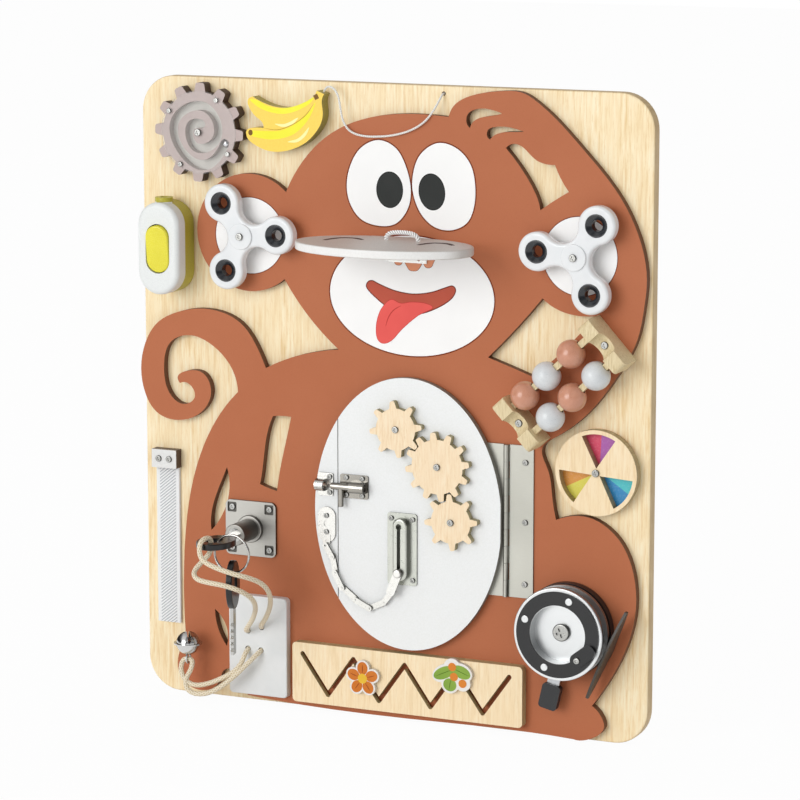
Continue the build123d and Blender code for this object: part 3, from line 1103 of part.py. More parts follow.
# ---------------------------------------------------------------- fishing reel
reel_mid = FACE + REEL_BACK_T
frame = rod(REEL_X, REEL_Z, FACE, REEL_BACK_T, REEL_R)
frame = soft(frame, FACE, 1.2)
frame -= rod(REEL_X, REEL_Z, FACE + REEL_WALL, REEL_BACK_T, REEL_R - REEL_WALL)
frame += rod(REEL_X, REEL_Z, FACE, REEL_BACK_T, REEL_AXLE_R + 3.0)
lever_back = reel_mid + AIR
foot_r = REEL_R + FOOT_GAP
foot_x, foot_z = polar(REEL_X, REEL_Z, foot_r + FOOT_T / 2, FOOT_A)
out_x, out_z = polar(0, 0, 1, FOOT_A)
foot_plane = Plane(origin=(foot_x, -FOOT_DEPTH, foot_z), x_dir=(-out_z, 0, out_x), z_dir=(out_x, 0, out_z))
foot_shape = make_face([ThreePointArc((-FOOT_L / 2, -1.6), (0, -FOOT_W / 2), (FOOT_L / 2, -1.6)),
                        Line((FOOT_L / 2, -1.6), (FOOT_L / 2, 1.6)),
                        ThreePointArc((FOOT_L / 2, 1.6), (0, FOOT_W / 2), (-FOOT_L / 2, 1.6)),
                        Line((-FOOT_L / 2, 1.6), (-FOOT_L / 2, -1.6))])
foot = extrude(foot_plane * foot_shape, FOOT_T / 2, both=True)
lug = slab(Pos(REEL_R - 1.5, 0) * Rectangle(2 * (FOOT_GAP + 1.5), 22, align=(Align.MIN, Align.CENTER)),
           FACE + 1.5, REEL_BACK_T - 1.5, REEL_X, REEL_Z, FOOT_A)
lug &= rod(REEL_X, REEL_Z, FACE, REEL_BACK_T, foot_r + FOOT_T)
frame += lug
frame += foot
frame -= rod(REEL_X, REEL_Z, FACE - 1, REEL_BACK_T + 2, REEL_AXLE_R + SNUG)
keep("reel_frame", frame)

spool_back = lever_back + LEVER_T + AIR
spool = rod(REEL_X, REEL_Z, spool_back, SPOOL_RIM_T, REEL_R - 0.4)
spool += rod(REEL_X, REEL_Z, spool_back, REEL_FRONT - spool_back, SPOOL_CORE_R)
spool += rod(REEL_X, REEL_Z, REEL_FRONT - SPOOL_RIM_T, SPOOL_RIM_T, REEL_R)
spool = soft(spool, REEL_FRONT, 0.8)
spool -= rod(REEL_X, REEL_Z, REEL_FRONT - DISH_DEEP, DISH_DEEP + 1, DISH_R)
spool -= rod(REEL_X, REEL_Z, spool_back - 1, REEL_FRONT, REEL_AXLE_R + RUN)
face_ring = rod(REEL_X, REEL_Z, REEL_FRONT, FACE_T, FACE_R)
face_ring -= rod(REEL_X, REEL_Z, REEL_FRONT - 1, FACE_T + 2, DISH_R + 0.4)
ring_front = REEL_FRONT + FACE_T
for i in range(3):
    rx, rz = polar(REEL_X, REEL_Z, RIVET_PATH_R, RIVET_FIRST + 89.0 * i)
    face_ring -= rod(rx, rz, REEL_FRONT - 1, 5, RIVET_R + SNUG)
    spool += soft(rod(rx, rz, REEL_FRONT - 0.5, FACE_T + 1.0, RIVET_R), REEL_FRONT + FACE_T + 0.5, 0.4)
crank_a = polar(REEL_X, REEL_Z, RIVET_PATH_R, RIVET_FIRST + 267.0)
crank_b = polar(REEL_X, REEL_Z, CRANK_END_R, CRANK_END_A)
crank_l = math.hypot(crank_b[0] - crank_a[0], crank_b[1] - crank_a[1])
crank_turn = math.degrees(math.atan2(crank_b[1] - crank_a[1], crank_b[0] - crank_a[0]))
face_ring += slab(SlotCenterToCenter(crank_l, 2 * CRANK_R), ring_front - 0.2, CRANK_T + 0.2,
                  (crank_a[0] + crank_b[0]) / 2, (crank_a[1] + crank_b[1]) / 2, crank_turn)
keep("reel_spool", spool)
keep("reel_face", face_ring)
seat = REEL_FRONT - DISH_DEEP + AIR
screws.append(screw(REEL_X, REEL_Z, seat, seat - FACE + BITE, REEL_SCREW_R, REEL_AXLE_R, 2.4))

lever = Pos(LEVER_OUT / 2, 0) * Rectangle(LEVER_OUT, LEVER_W)
lever = slab(lever, lever_back, LEVER_T, REEL_X, REEL_Z, LEVER_A)
lever += rod(REEL_X, REEL_Z, lever_back, LEVER_T, REEL_AXLE_R + 4.0)
lever -= rod(REEL_X, REEL_Z, lever_back - 1, LEVER_T + 2, REEL_AXLE_R + RUN)
grip_depth = lever_back + LEVER_T / 2 - GRIP_T / 2
grip = slab(Pos(LEVER_OUT + GRIP_L / 2 - 3, 0) * RectangleRounded(GRIP_L, GRIP_W, 2.5), grip_depth, GRIP_T,
            REEL_X, REEL_Z, LEVER_A)
grip -= lever
keep("reel_lever", lever, grip)

# ---------------------------------------------------------------- all fixed screws and axles
keep("screws", *screws)
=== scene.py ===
"""Looks of the wooden busy board. Sizes in this script are millimetres unless a name says otherwise.

+Z is up, +X is to the viewer's right and the toys face -Y. A depth is a distance in front of the
board's back, so y = -depth. Flat outlines are lists of (x, z).
"""
import bmesh
import bpy
import math
import numpy as np
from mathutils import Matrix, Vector


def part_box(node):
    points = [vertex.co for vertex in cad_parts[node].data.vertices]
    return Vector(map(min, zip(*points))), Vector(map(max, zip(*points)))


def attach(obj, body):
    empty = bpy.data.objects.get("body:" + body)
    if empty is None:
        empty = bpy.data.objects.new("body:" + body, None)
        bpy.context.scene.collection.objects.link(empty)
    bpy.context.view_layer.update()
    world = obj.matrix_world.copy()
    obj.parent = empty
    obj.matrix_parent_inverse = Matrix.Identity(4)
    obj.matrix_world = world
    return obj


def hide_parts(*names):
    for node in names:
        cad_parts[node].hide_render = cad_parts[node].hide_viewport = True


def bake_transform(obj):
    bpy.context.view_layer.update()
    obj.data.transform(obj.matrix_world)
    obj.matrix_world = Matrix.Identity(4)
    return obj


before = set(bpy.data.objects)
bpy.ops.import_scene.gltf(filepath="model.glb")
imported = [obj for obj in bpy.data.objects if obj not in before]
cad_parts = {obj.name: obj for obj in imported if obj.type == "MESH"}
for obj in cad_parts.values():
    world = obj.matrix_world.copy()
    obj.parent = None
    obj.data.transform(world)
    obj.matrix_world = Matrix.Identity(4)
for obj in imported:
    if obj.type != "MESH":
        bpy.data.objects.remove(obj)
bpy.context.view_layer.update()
MM = 0.001


# ---------------------------------------------------------------- base board
# Birch plywood, 10 mm, with an upright veneer under clear satin lacquer. The eye gets a pale, warm,
# nearly even face with short fine flecks, and darker layers where the edge is cut.
WALL_TURN = (0.45, 0.75)     # how far a surface faces front: a wall below the first, a face above the second


def rgb(code):
    """sRGB hex to the linear colour that a socket takes."""
    channels = [int(code[i:i + 2], 16) / 255 for i in (0, 2, 4)]
    return tuple(c / 12.92 if c <= 0.04045 else ((c + 0.055) / 1.055) ** 2.4 for c in channels) + (1.0,)


def add(mat, kind, inputs=None, out=0, stops=(), **settings):
    """Adds a shader node with its settings and links, and returns one of its outputs."""
    n = mat.node_tree.nodes.new("ShaderNode" + kind)
    for key, value in settings.items():
        setattr(n, key, value)
    for key, value in (inputs or {}).items():
        if isinstance(value, bpy.types.NodeSocket):
            mat.node_tree.links.new(value, n.inputs[key])
        else:
            n.inputs[key].default_value = rgb(value) if isinstance(value, str) else value
    if stops:
        n.color_ramp.elements.remove(n.color_ramp.elements[1])
        n.color_ramp.elements[0].position = stops[0][0]
        n.color_ramp.elements[0].color = rgb(stops[0][1])
        for position, code in stops[1:]:
            n.color_ramp.elements.new(position).color = rgb(code)
    return n.outputs[out] if len(n.outputs) else None


def blank(name):
    """A material without nodes."""
    mat = bpy.data.materials.new(name)
    mat.use_nodes = True
    mat.node_tree.nodes.clear()
    return mat


def per_mm(size):
    """Pattern scale from the length in mm of one mark along X, Y and Z."""
    return tuple(1.0 / (s * MM) for s in size)


def cut_walls(mat):
    """1 on surfaces that run in depth, where a cutter went through, and 0 on the faces."""
    normal = add(mat, "TexCoord", out="Normal")
    facing = add(mat, "Math", {0: add(mat, "SeparateXYZ", {0: normal}, "Y")}, operation="ABSOLUTE")
    return add(mat, "MapRange", {"Value": facing, 1: WALL_TURN[0], 2: WALL_TURN[1], 3: 1.0, 4: 0.0})


def finish(mat, colour, rough, marks=None, relief=0.0, **sockets):
    """Closes a material; marks is a 0-1 pattern that stands out by relief mm."""
    inputs = {"Base Color": colour, "Roughness": rough}
    for key, value in sockets.items():
        inputs[key.replace("_", " ")] = value
    if marks is not None:
        inputs["Normal"] = add(mat, "Bump", {"Height": marks, "Distance": relief * MM, "Strength": 1.0})
    add(mat, "OutputMaterial", {"Surface": add(mat, "BsdfPrincipled", inputs)})
    return mat


def dress(mat, *nodes):
    """Gives a material to CAD nodes."""
    for name in nodes:
        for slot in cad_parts[name].material_slots:
            slot.material = mat


VENEER_RELIEF = 0.03


def lacquered_wood(name, light, mid, dark, streak_mm, wall=None):
    """Pale wood with a satin skin; streak_mm is one grain streak along X, Y and Z, wall colours its cuts."""
    mat = blank(name)
    place = add(mat, "TexCoord", out="Object")
    along = add(mat, "Mapping", {"Vector": place, "Scale": per_mm(streak_mm)})
    streak = add(mat, "TexNoise", {"Vector": along, "Scale": 1.0, "Detail": 4.0, "Roughness": 0.6})
    broad = add(mat, "TexNoise", {"Vector": along, "Scale": 0.17, "Detail": 2.0})
    fleck = add(mat, "TexNoise", {"Vector": along, "Scale": 2.6, "Detail": 2.0, "Roughness": 0.7})
    tone = add(mat, "ValToRGB", {"Fac": streak}, stops=((0.33, dark), (0.48, mid), (0.64, light)))
    calm = add(mat, "MapRange", {"Value": broad, 1: 0.35, 2: 0.65, 3: 0.0, 4: 0.6})
    tone = add(mat, "Mix", {0: calm, 6: tone, 7: mid}, 2, data_type="RGBA")
    flecks = add(mat, "MapRange", {"Value": fleck, 1: 0.32, 2: 0.42, 3: 0.6, 4: 0.0})
    tone = add(mat, "Mix", {0: flecks, 6: tone, 7: dark}, 2, data_type="RGBA")
    if wall:
        layers = add(mat, "ValToRGB", {"Fac": streak}, stops=((0.3, wall[0]), (0.7, wall[1])))
        tone = add(mat, "Mix", {0: cut_walls(mat), 6: tone, 7: layers}, 2, data_type="RGBA")
    rough = add(mat, "MapRange", {"Value": streak, 1: 0.2, 2: 0.8, 3: 0.54, 4: 0.42})
    return finish(mat, tone, rough, streak, VENEER_RELIEF)


BOARD_STREAK = (1.7, 8.0, 24.0)
BOARD_EDGE = ("C4A677", "DCC192")
dress(lacquered_wood("birch_board", "FFF1CF", "FAE4B9", "EBCB93", BOARD_STREAK, BOARD_EDGE), "board")


# ---------------------------------------------------------------- monkey panel
# Fibre board, 6 mm, with a terracotta water stain. The eye gets an even, slightly cloudy matt red-brown,
# and duller brown walls where the laser cut the outline and the openings.
CLOUD_MM = 60.0
FIBRE_MM = 0.9               # real fibres are finer; this is as coarse as it needs to be to show
FIBRE_RELIEF = 0.02
PANEL_LIGHT, PANEL_DEEP, PANEL_FLECK = "BB704C", "B66B47", "A25C3D"
PANEL_WALLS = ("643F2B", "80563D")


def stained_fibre_board(name, light, deep, fleck, walls):
    """Stain that sank into the board: slow clouds from light to deep, fibres flecked, browner cut walls."""
    mat = blank(name)
    place = add(mat, "TexCoord", out="Object")
    cloud = add(mat, "TexNoise", {"Vector": place, "Scale": 1 / (CLOUD_MM * MM), "Detail": 3.0})
    fibre = add(mat, "TexNoise", {"Vector": place, "Scale": 1 / (FIBRE_MM * MM), "Detail": 3.0,
                                  "Roughness": 0.6})
    tone = add(mat, "ValToRGB", {"Fac": cloud}, stops=((0.3, deep), (0.7, light)))
    flecks = add(mat, "MapRange", {"Value": fibre, 1: 0.55, 2: 0.8, 3: 0.0, 4: 0.3})
    tone = add(mat, "Mix", {0: flecks, 6: tone, 7: fleck}, 2, data_type="RGBA")
    char = add(mat, "ValToRGB", {"Fac": fibre}, stops=((0.3, walls[0]), (0.7, walls[1])))
    tone = add(mat, "Mix", {0: cut_walls(mat), 6: tone, 7: char}, 2, data_type="RGBA")
    rough = add(mat, "MapRange", {"Value": fibre, 1: 0.3, 2: 0.7, 3: 0.48, 4: 0.6})
    return finish(mat, tone, rough, fibre, FIBRE_RELIEF, Specular_IOR_Level=0.22)


stained_panel = stained_fibre_board("stained_panel", PANEL_LIGHT, PANEL_DEEP, PANEL_FLECK, PANEL_WALLS)
dress(stained_panel, "monkey_panel")


# ---------------------------------------------------------------- printed face
# Ears, eyes, muzzle, nose, mouth and tongue, printed on the panel with cured inks. The eye gets flat,
# clean colours with a thin brown line round each, a hair above the stain.
def mesh_piece(name, verts, faces, mat, body, crease=35.0):
    """A mesh object from points in mm that rides on a body; edges sharper than crease degrees stay sharp."""
    mesh = bpy.data.meshes.new(name)
    mesh.from_pydata([tuple(c * MM for c in v) for v in verts], [], faces)
    work = bmesh.new()
    work.from_mesh(mesh)
    bmesh.ops.recalc_face_normals(work, faces=work.faces)
    work.to_mesh(mesh)
    work.free()
    mesh.materials.append(mat)
    mesh.polygons.foreach_set("use_smooth", [True] * len(mesh.polygons))
    mesh.set_sharp_from_angle(angle=math.radians(crease))
    obj = bpy.data.objects.new(name, mesh)
    bpy.context.scene.collection.objects.link(obj)
    if body:
        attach(obj, body)
    return obj


def smooth_line(points, count=8, closed=False):
    """Smooth line through points, with count steps from each to the next."""
    p = [np.array(v, float) for v in points]
    if closed:
        p = [p[-1]] + p + p[:2]
    else:
        p = [2 * p[0] - p[1]] + p + [2 * p[-1] - p[-2]]
    line = []
    for a, b, c, d in zip(p, p[1:], p[2:], p[3:]):
        for t in np.arange(count) / count:
            bend = (2 * a - 5 * b + 4 * c - d) * t * t + (3 * b - a - 3 * c + d) * t ** 3
            line.append(tuple((2 * b + (c - a) * t + bend) / 2))
    return line if closed else line + [tuple(p[-2])]


def oval(cx, cz, rx, rz, tilt=0.0, count=96):
    """Loop of an ellipse about a centre, turned by tilt degrees."""
    c, s = math.cos(math.radians(tilt)), math.sin(math.radians(tilt))
    ring = [(rx * math.cos(a), rz * math.sin(a)) for a in np.linspace(0, 2 * math.pi, count, endpoint=False)]
    return [(cx + x * c - z * s, cz + x * s + z * c) for x, z in ring]


def grown(loop, by):
    """The loop moved outwards by a distance."""
    p = np.array(loop)
    ahead = np.roll(p, -1, 0) - np.roll(p, 1, 0)
    out = np.c_[ahead[:, 1], -ahead[:, 0]]
    out /= np.linalg.norm(out, axis=1)[:, None]
    area = np.sum(p[:, 0] * np.roll(p[:, 1], -1) - np.roll(p[:, 0], -1) * p[:, 1])
    return [tuple(v) for v in p + out * by * (1 if area > 0 else -1)]


END_THINNING = 0.85          # a stroke with a full taper loses this share of its width at its ends


def stroke(points, width, taper=1.0):
    """Loop round a line of points, thinner towards its ends when taper is over 0."""
    p = np.array(points, float)
    along = np.gradient(p, axis=0)
    along /= np.linalg.norm(along, axis=1)[:, None]
    side = np.c_[-along[:, 1], along[:, 0]]
    t = np.linspace(0, 1, len(p))
    half = width / 2 * (1 - taper * np.abs(2 * t - 1) ** 3 * END_THINNING)
    left = p + side * half[:, None]
    right = p - side * half[:, None]
    return [tuple(v) for v in left] + [tuple(v) for v in right[::-1]]


def slab(name, low, high, mat, body):
    """A thin solid between two loops that have the same number of points."""
    n = len(low)
    faces = [list(range(n)), list(range(n, 2 * n))]
    faces += [[i, (i + 1) % n, (i + 1) % n + n, i + n] for i in range(n)]
    return mesh_piece(name, low + high, faces, mat, body)


def printed(name, loop, depth, thick, mat, body):
    """Print of a loop, thick mm high, on a face that lies at a depth."""
    return slab(name, [(x, -depth, z) for x, z in loop], [(x, -depth - thick, z) for x, z in loop], mat, body)


INK_SPECK_MM = 0.9
INK_CLOUD_MM = 28.0
INK_RELIEF = 0.008
INK_SHINE = 0.12             # low, so that dark ink stays dark against the bright room


def cured_ink(name, code, deep):
    """Cured print: flat colour with a faint speckle from the jets."""
    mat = blank(name)
    place = add(mat, "TexCoord", out="Object")
    speck = add(mat, "TexNoise", {"Vector": place, "Scale": 1 / (INK_SPECK_MM * MM), "Detail": 4.0,
                                  "Roughness": 0.6})
    cloud = add(mat, "TexNoise", {"Vector": place, "Scale": 1 / (INK_CLOUD_MM * MM), "Detail": 2.0})
    tone = add(mat, "ValToRGB", {"Fac": cloud}, stops=((0.3, code), (0.75, deep)))
    rough = add(mat, "MapRange", {"Value": speck, 1: 0.3, 2: 0.7, 3: 0.55, 4: 0.65})
    return finish(mat, tone, rough, speck, INK_RELIEF, Specular_IOR_Level=INK_SHINE)


PANEL_FACE = -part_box("monkey_panel")[0][1] / MM
INK_STEP = 0.05              # height of one layer of ink
GROUND_LAYER, DETAIL_LAYER, TONGUE_LAYER, FOLD_LAYER = 1, 3, 5, 6
white_ink = cured_ink("ink_white", "FEFEFD", "FAFAF9")
rim_ink = cured_ink("ink_brown_line", "7C3214", "702D12")


def face_print(name, loop, layer, mat, rim=0.0, rim_mat=None):
    """Print on the panel, with an outline of rim mm one layer below it."""
    if rim:
        printed(name + "_outline", grown(loop, rim), PANEL_FACE, INK_STEP * layer, rim_mat, "board")
    printed(name, loop, PANEL_FACE, INK_STEP * (layer + 1), mat, "board")


EARS = {"left": (-106.3, 114.7), "right": (144.4, 113.6)}
EAR_DISC_R = 27.0
EAR_RIM = 0.6
for side, (ear_x, ear_z) in EARS.items():
    ear_disc = oval(ear_x, ear_z, EAR_DISC_R, EAR_DISC_R)
    face_print("ear_disc_" + side, ear_disc, GROUND_LAYER, white_ink, EAR_RIM, rim_ink)
EYES = {
    "left": [(-5.9, 186.4), (9.0, 179.5), (17.6, 160.0), (17.3, 142.5), (8.0, 129.5), (-6.0, 126.8),
             (-20.5, 131.5), (-29.2, 145.0), (-29.4, 162.0), (-21.0, 179.0)],
    "right": [(38.5, 186.1), (54.0, 182.5), (64.5, 170.0), (67.0, 150.0), (62.0, 133.5), (49.5, 126.6),
              (35.5, 128.6), (24.5, 139.5), (19.6, 157.0), (24.5, 176.0)]}
PUPILS = {"left": (2.5, 152.3, 9.7, 12.2, 0), "right": (34.5, 152.3, 9.5, 12.3, 8)}
EYE_RIM = 0.9
PUPIL_RIM = 0.5
pupil_ink = cured_ink("ink_pupil", "3A3C3B", "343635")
pupil_rim = cured_ink("ink_pupil_line", "121212", "181818")
for side, loop in EYES.items():
    face_print("eye_" + side, smooth_line(loop, closed=True), GROUND_LAYER, white_ink, EYE_RIM, rim_ink)
for side, shape in PUPILS.items():
    face_print("pupil_" + side, oval(*shape), DETAIL_LAYER, pupil_ink, PUPIL_RIM, pupil_rim)
MUZZLE = (19.0, 79.0, 62.5, 42.0)
NOSE = [(5.8, 109.5), (35.2, 109.5), (35.3, 102.4), (33.2, 99.8), (29.8, 100.0), (27.8, 103.0), (26.0, 100.3),
        (23.6, 97.4), (20.4, 96.8), (17.3, 97.5), (15.2, 100.6), (13.2, 103.2), (10.7, 100.5), (7.4, 100.6),
        (5.8, 103.4)]
MOUTH = [(-14.3, 86.4), (-11.0, 87.8), (-5.4, 85.6), (6.2, 81.8), (19.8, 80.2), (33.4, 82.0), (44.8, 86.0),
         (50.2, 87.6), (52.2, 84.4), (48.4, 78.6), (38.8, 72.4), (25.6, 67.4), (12.2, 67.4), (0.4, 71.0),
         (-9.4, 77.8), (-14.7, 83.0)]
TONGUE = [(4.5, 75.6), (11.0, 73.4), (20.0, 74.8), (30.0, 74.4), (35.0, 71.6), (24.0, 65.8), (12.5, 56.2),
          (4.0, 47.2), (-2.7, 44.6), (-7.0, 48.0), (-7.6, 57.0), (-5.0, 66.4), (0.0, 73.2)]
TONGUE_FOLD = [(-0.6, 56.5), (1.6, 63.0), (5.4, 68.2), (11.4, 72.0)]
MUZZLE_RIM, NOSE_RIM, LIP_RIM, TONGUE_RIM = 0.9, 0.3, 0.7, 0.35
FOLD_WIDTH = 0.7
face_print("muzzle", oval(*MUZZLE), GROUND_LAYER, white_ink, MUZZLE_RIM, rim_ink)
nose_ink = cured_ink("ink_nose", "EBA07C", "E39671")
mouth_ink = cured_ink("ink_mouth", "C05C49", "B65442")
lip_ink = cured_ink("ink_lip", "6E2A22", "642520")
tongue_ink = cured_ink("ink_tongue", "EE655F", "E45B56")
tongue_line = cured_ink("ink_tongue_line", "C9453F", "BE3E39")
face_print("nose", smooth_line(NOSE, 4, True), DETAIL_LAYER, nose_ink, NOSE_RIM, rim_ink)
face_print("mouth", smooth_line(MOUTH, 5, True), DETAIL_LAYER, mouth_ink, LIP_RIM, lip_ink)
face_print("tongue", smooth_line(TONGUE, 5, True), TONGUE_LAYER, tongue_ink, TONGUE_RIM, tongue_line)
face_print("tongue_fold", stroke(smooth_line(TONGUE_FOLD), FOLD_WIDTH), FOLD_LAYER, tongue_line)


# ---------------------------------------------------------------- line switch
# Moulded ABS in two shells, off-white in front and olive-yellow behind, with a glossy yellow rocker.
# The eye gets a smooth, slightly pebbled skin and a clean change of colour at the parting plane.
PEBBLE_MM = 0.7
PEBBLE_RELIEF = 0.01
SHELL_RELIEF = 0.012
SWITCH_SPLIT = 25.0          # depth of the parting plane
SPLIT_BLUR = 0.05
GLAND_HEIGHT = 3.2           # the cable gland belongs to the shell behind
GLAND_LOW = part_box("switch_shell")[1][2] - GLAND_HEIGHT * MM


def moulded_abs(name, code, deep, rough=0.3, coat=0.0):
    """Moulded plastic with a faint pebble and slight mottling; coat is its gloss skin."""
    mat = blank(name)
    place = add(mat, "TexCoord", out="Object")
    pebble = add(mat, "TexNoise", {"Vector": place, "Scale": 1 / (PEBBLE_MM * MM), "Detail": 3.0,
                                   "Roughness": 0.6})
    cloud = add(mat, "TexNoise", {"Vector": place, "Scale": 1 / (20 * PEBBLE_MM * MM), "Detail": 2.0})
    tone = add(mat, "ValToRGB", {"Fac": cloud}, stops=((0.3, code), (0.75, deep)))
    rough = add(mat, "MapRange", {"Value": pebble, 1: 0.2, 2: 0.8, 3: rough - 0.05, 4: rough + 0.07})
    return finish(mat, tone, rough, pebble, PEBBLE_RELIEF, Coat_Weight=coat)


def two_shell_abs():
    """Off-white in front of the parting plane, olive-yellow behind it and on the gland."""
    mat = blank("abs_switch")
    place = add(mat, "TexCoord", out="Object")
    pebble = add(mat, "TexNoise", {"Vector": place, "Scale": 1 / (PEBBLE_MM * MM), "Detail": 3.0})
    y = add(mat, "SeparateXYZ", {0: place}, "Y")
    behind = add(mat, "MapRange", {"Value": y, 1: -(SWITCH_SPLIT + SPLIT_BLUR) * MM,
                                   2: -(SWITCH_SPLIT - SPLIT_BLUR) * MM})
    z = add(mat, "SeparateXYZ", {0: place}, "Z")
    gland = add(mat, "MapRange", {"Value": z, 1: GLAND_LOW, 2: GLAND_LOW + 2 * SPLIT_BLUR * MM})
    behind = add(mat, "Math", {0: behind, 1: gland}, operation="MAXIMUM")
    front = add(mat, "ValToRGB", {"Fac": pebble}, stops=((0.35, "EAEDEB"), (0.7, "E3E6E5")))
    back = add(mat, "ValToRGB", {"Fac": pebble}, stops=((0.3, "B0A632"), (0.7, "C2B83E")))
    tone = add(mat, "Mix", {0: behind, 6: front, 7: back}, 2, data_type="RGBA")
    rough = add(mat, "MapRange", {"Value": pebble, 1: 0.2, 2: 0.8, 3: 0.32, 4: 0.44})
    return finish(mat, tone, rough, pebble, SHELL_RELIEF)


dress(two_shell_abs(), "switch_shell")
dress(moulded_abs("abs_rocker", "EDE339", "E5DA30", 0.26, coat=0.3), "rocker")


# ---------------------------------------------------------------- spinners
# Three-lobed bodies of glossy white ABS with a black ring pressed into each lobe. The rings are turned:
# each has a rounded lip, a conical dish and a round bore.
def turned(name, profile, spots, mat, body, closed=False, count=72):
    """Pieces turned about lines that run in depth; profile is (radius, depth), spots are (x, z)."""
    verts = []
    faces = []
    for cx, cz in spots:
        base = len(verts)
        for r, depth in profile:
            for a in np.linspace(0, 2 * math.pi, count, endpoint=False):
                verts.append((cx + r * math.cos(a), -depth, cz + r * math.sin(a)))
        rows = len(profile)
        for i in range(rows if closed else rows - 1):
            for k in range(count):
                a, b = base + i * count, base + (i + 1) % rows * count
                faces.append((a + k, a + (k + 1) % count, b + (k + 1) % count, b + k))
        if not closed:
            faces.append([base + k for k in range(count)])
            faces.append([base + (rows - 1) * count + k for k in range(count)])
    return mesh_piece(name, verts, faces, mat, body)


RING_R = 8.0
RING_BORE_R = 4.0
RING_LIP = 0.7
RING_ROUND = 0.5
RING_STEP = (0.3, 0.2)       # slope from the lip into the dish, inwards and down
RING_THROAT = 0.4            # slope from the dish into the bore
RING_DISH = 2.2
SPIN_ARM = 27.5
SPINNERS = {"spinner_left": (-106.5, 115.5, 4.0), "spinner_right": (145.5, 114.5, 54.5)}     # x, z, turn
dress(moulded_abs("abs_spinner_white", "EBEDEE", "E2E5E7", 0.22, coat=0.4), "spinner_left", "spinner_right")
ring_abs = moulded_abs("abs_ring_black", "26292E", "1C1F23", 0.24, coat=0.4)
ring_back = -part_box("spinner_left_rings")[1][1] / MM
ring_front = -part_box("spinner_left_rings")[0][1] / MM
ring_profile = [(RING_R, ring_back), (RING_R, ring_front - RING_ROUND),
                (RING_R - 0.3 * RING_ROUND, ring_front - 0.3 * RING_ROUND), (RING_R - RING_ROUND, ring_front),
                (RING_R - RING_LIP, ring_front),
                (RING_R - RING_LIP - RING_STEP[0], ring_front - RING_STEP[1]),
                (RING_BORE_R + RING_THROAT, ring_front - RING_DISH),
                (RING_BORE_R, ring_front - RING_DISH - RING_THROAT), (RING_BORE_R, ring_back)]
for body, (cx, cz, turn) in SPINNERS.items():
    angles = [math.radians(turn + 120 * i) for i in range(3)]
    spots = [(cx + SPIN_ARM * math.cos(a), cz + SPIN_ARM * math.sin(a)) for a in angles]
    rings = turned(body + "_dished_rings", ring_profile, spots, ring_abs, body, closed=True)
    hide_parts(body + "_rings")


# ---------------------------------------------------------------- spiral gear
# Mauve-stained fibre board gear; a paler spiral channel is milled into it and covered by a clear acrylic
# disc held by four screws. The eye sees the channel and its steel ball through a faint gloss.
SPIRAL_CENTRE = (-144.5, 186.5)
SPIRAL_FRONT = 19.5
SPIRAL_ROOT_R = 27.5         # root circle of the teeth
SPIRAL_SUNK = (0.3, 1.0)     # below the face, where the channel's colour begins and is full
EDGE_BLUR = 0.2


def beyond(mat, centre, radius):
    """1 further than a radius from an axis that runs in depth, 0 within it."""
    place = add(mat, "TexCoord", out="Object")
    local = add(mat, "VectorMath", {0: place, 1: (centre[0] * MM, 0.0, centre[1] * MM)}, operation="SUBTRACT")
    flat = add(mat, "VectorMath", {0: local, 1: (1.0, 0.0, 1.0)}, operation="MULTIPLY")
    reach = add(mat, "VectorMath", {0: flat}, "Value", operation="LENGTH")
    return add(mat, "MapRange", {"Value": reach, 1: (radius - EDGE_BLUR) * MM, 2: (radius + EDGE_BLUR) * MM})


def spiral_gear_stain():
    """Mauve face, pale channel floor with greyer walls, and dark brown teeth where the laser cut them."""
    mat = blank("stained_spiral_gear")
    place = add(mat, "TexCoord", out="Object")
    fibre = add(mat, "TexNoise", {"Vector": place, "Scale": 1 / (FIBRE_MM * MM), "Detail": 4.0,
                                  "Roughness": 0.6})
    y = add(mat, "SeparateXYZ", {0: place}, "Y")
    walls = cut_walls(mat)
    sunk = add(mat, "MapRange", {"Value": y, 1: -(SPIRAL_FRONT - SPIRAL_SUNK[0]) * MM,
                                 2: -(SPIRAL_FRONT - SPIRAL_SUNK[1]) * MM})
    rim = beyond(mat, SPIRAL_CENTRE, SPIRAL_ROOT_R)
    face = add(mat, "ValToRGB", {"Fac": fibre}, stops=((0.3, "B8A6A1"), (0.7, "C2B1AC")))
    floor = add(mat, "ValToRGB", {"Fac": fibre}, stops=((0.3, "D2D0C8"), (0.7, "DCDAD3")))
    floor = add(mat, "Mix", {0: walls, 6: floor, 7: "BDB1AC"}, 2, data_type="RGBA")
    char = add(mat, "ValToRGB", {"Fac": fibre}, stops=((0.3, "38231B"), (0.7, "4E3328")))
    tone = add(mat, "Mix", {0: sunk, 6: face, 7: floor}, 2, data_type="RGBA")
    outer = add(mat, "Math", {0: rim, 1: walls}, operation="MULTIPLY")
    tone = add(mat, "Mix", {0: outer, 6: tone, 7: char}, 2, data_type="RGBA")
    rough = add(mat, "MapRange", {"Value": fibre, 1: 0.3, 2: 0.7, 3: 0.46, 4: 0.58})
    return finish(mat, tone, rough, fibre, FIBRE_RELIEF)


HAZE_MM = 6.0
FACE_ALPHA, EDGE_ALPHA = 0.06, 0.35


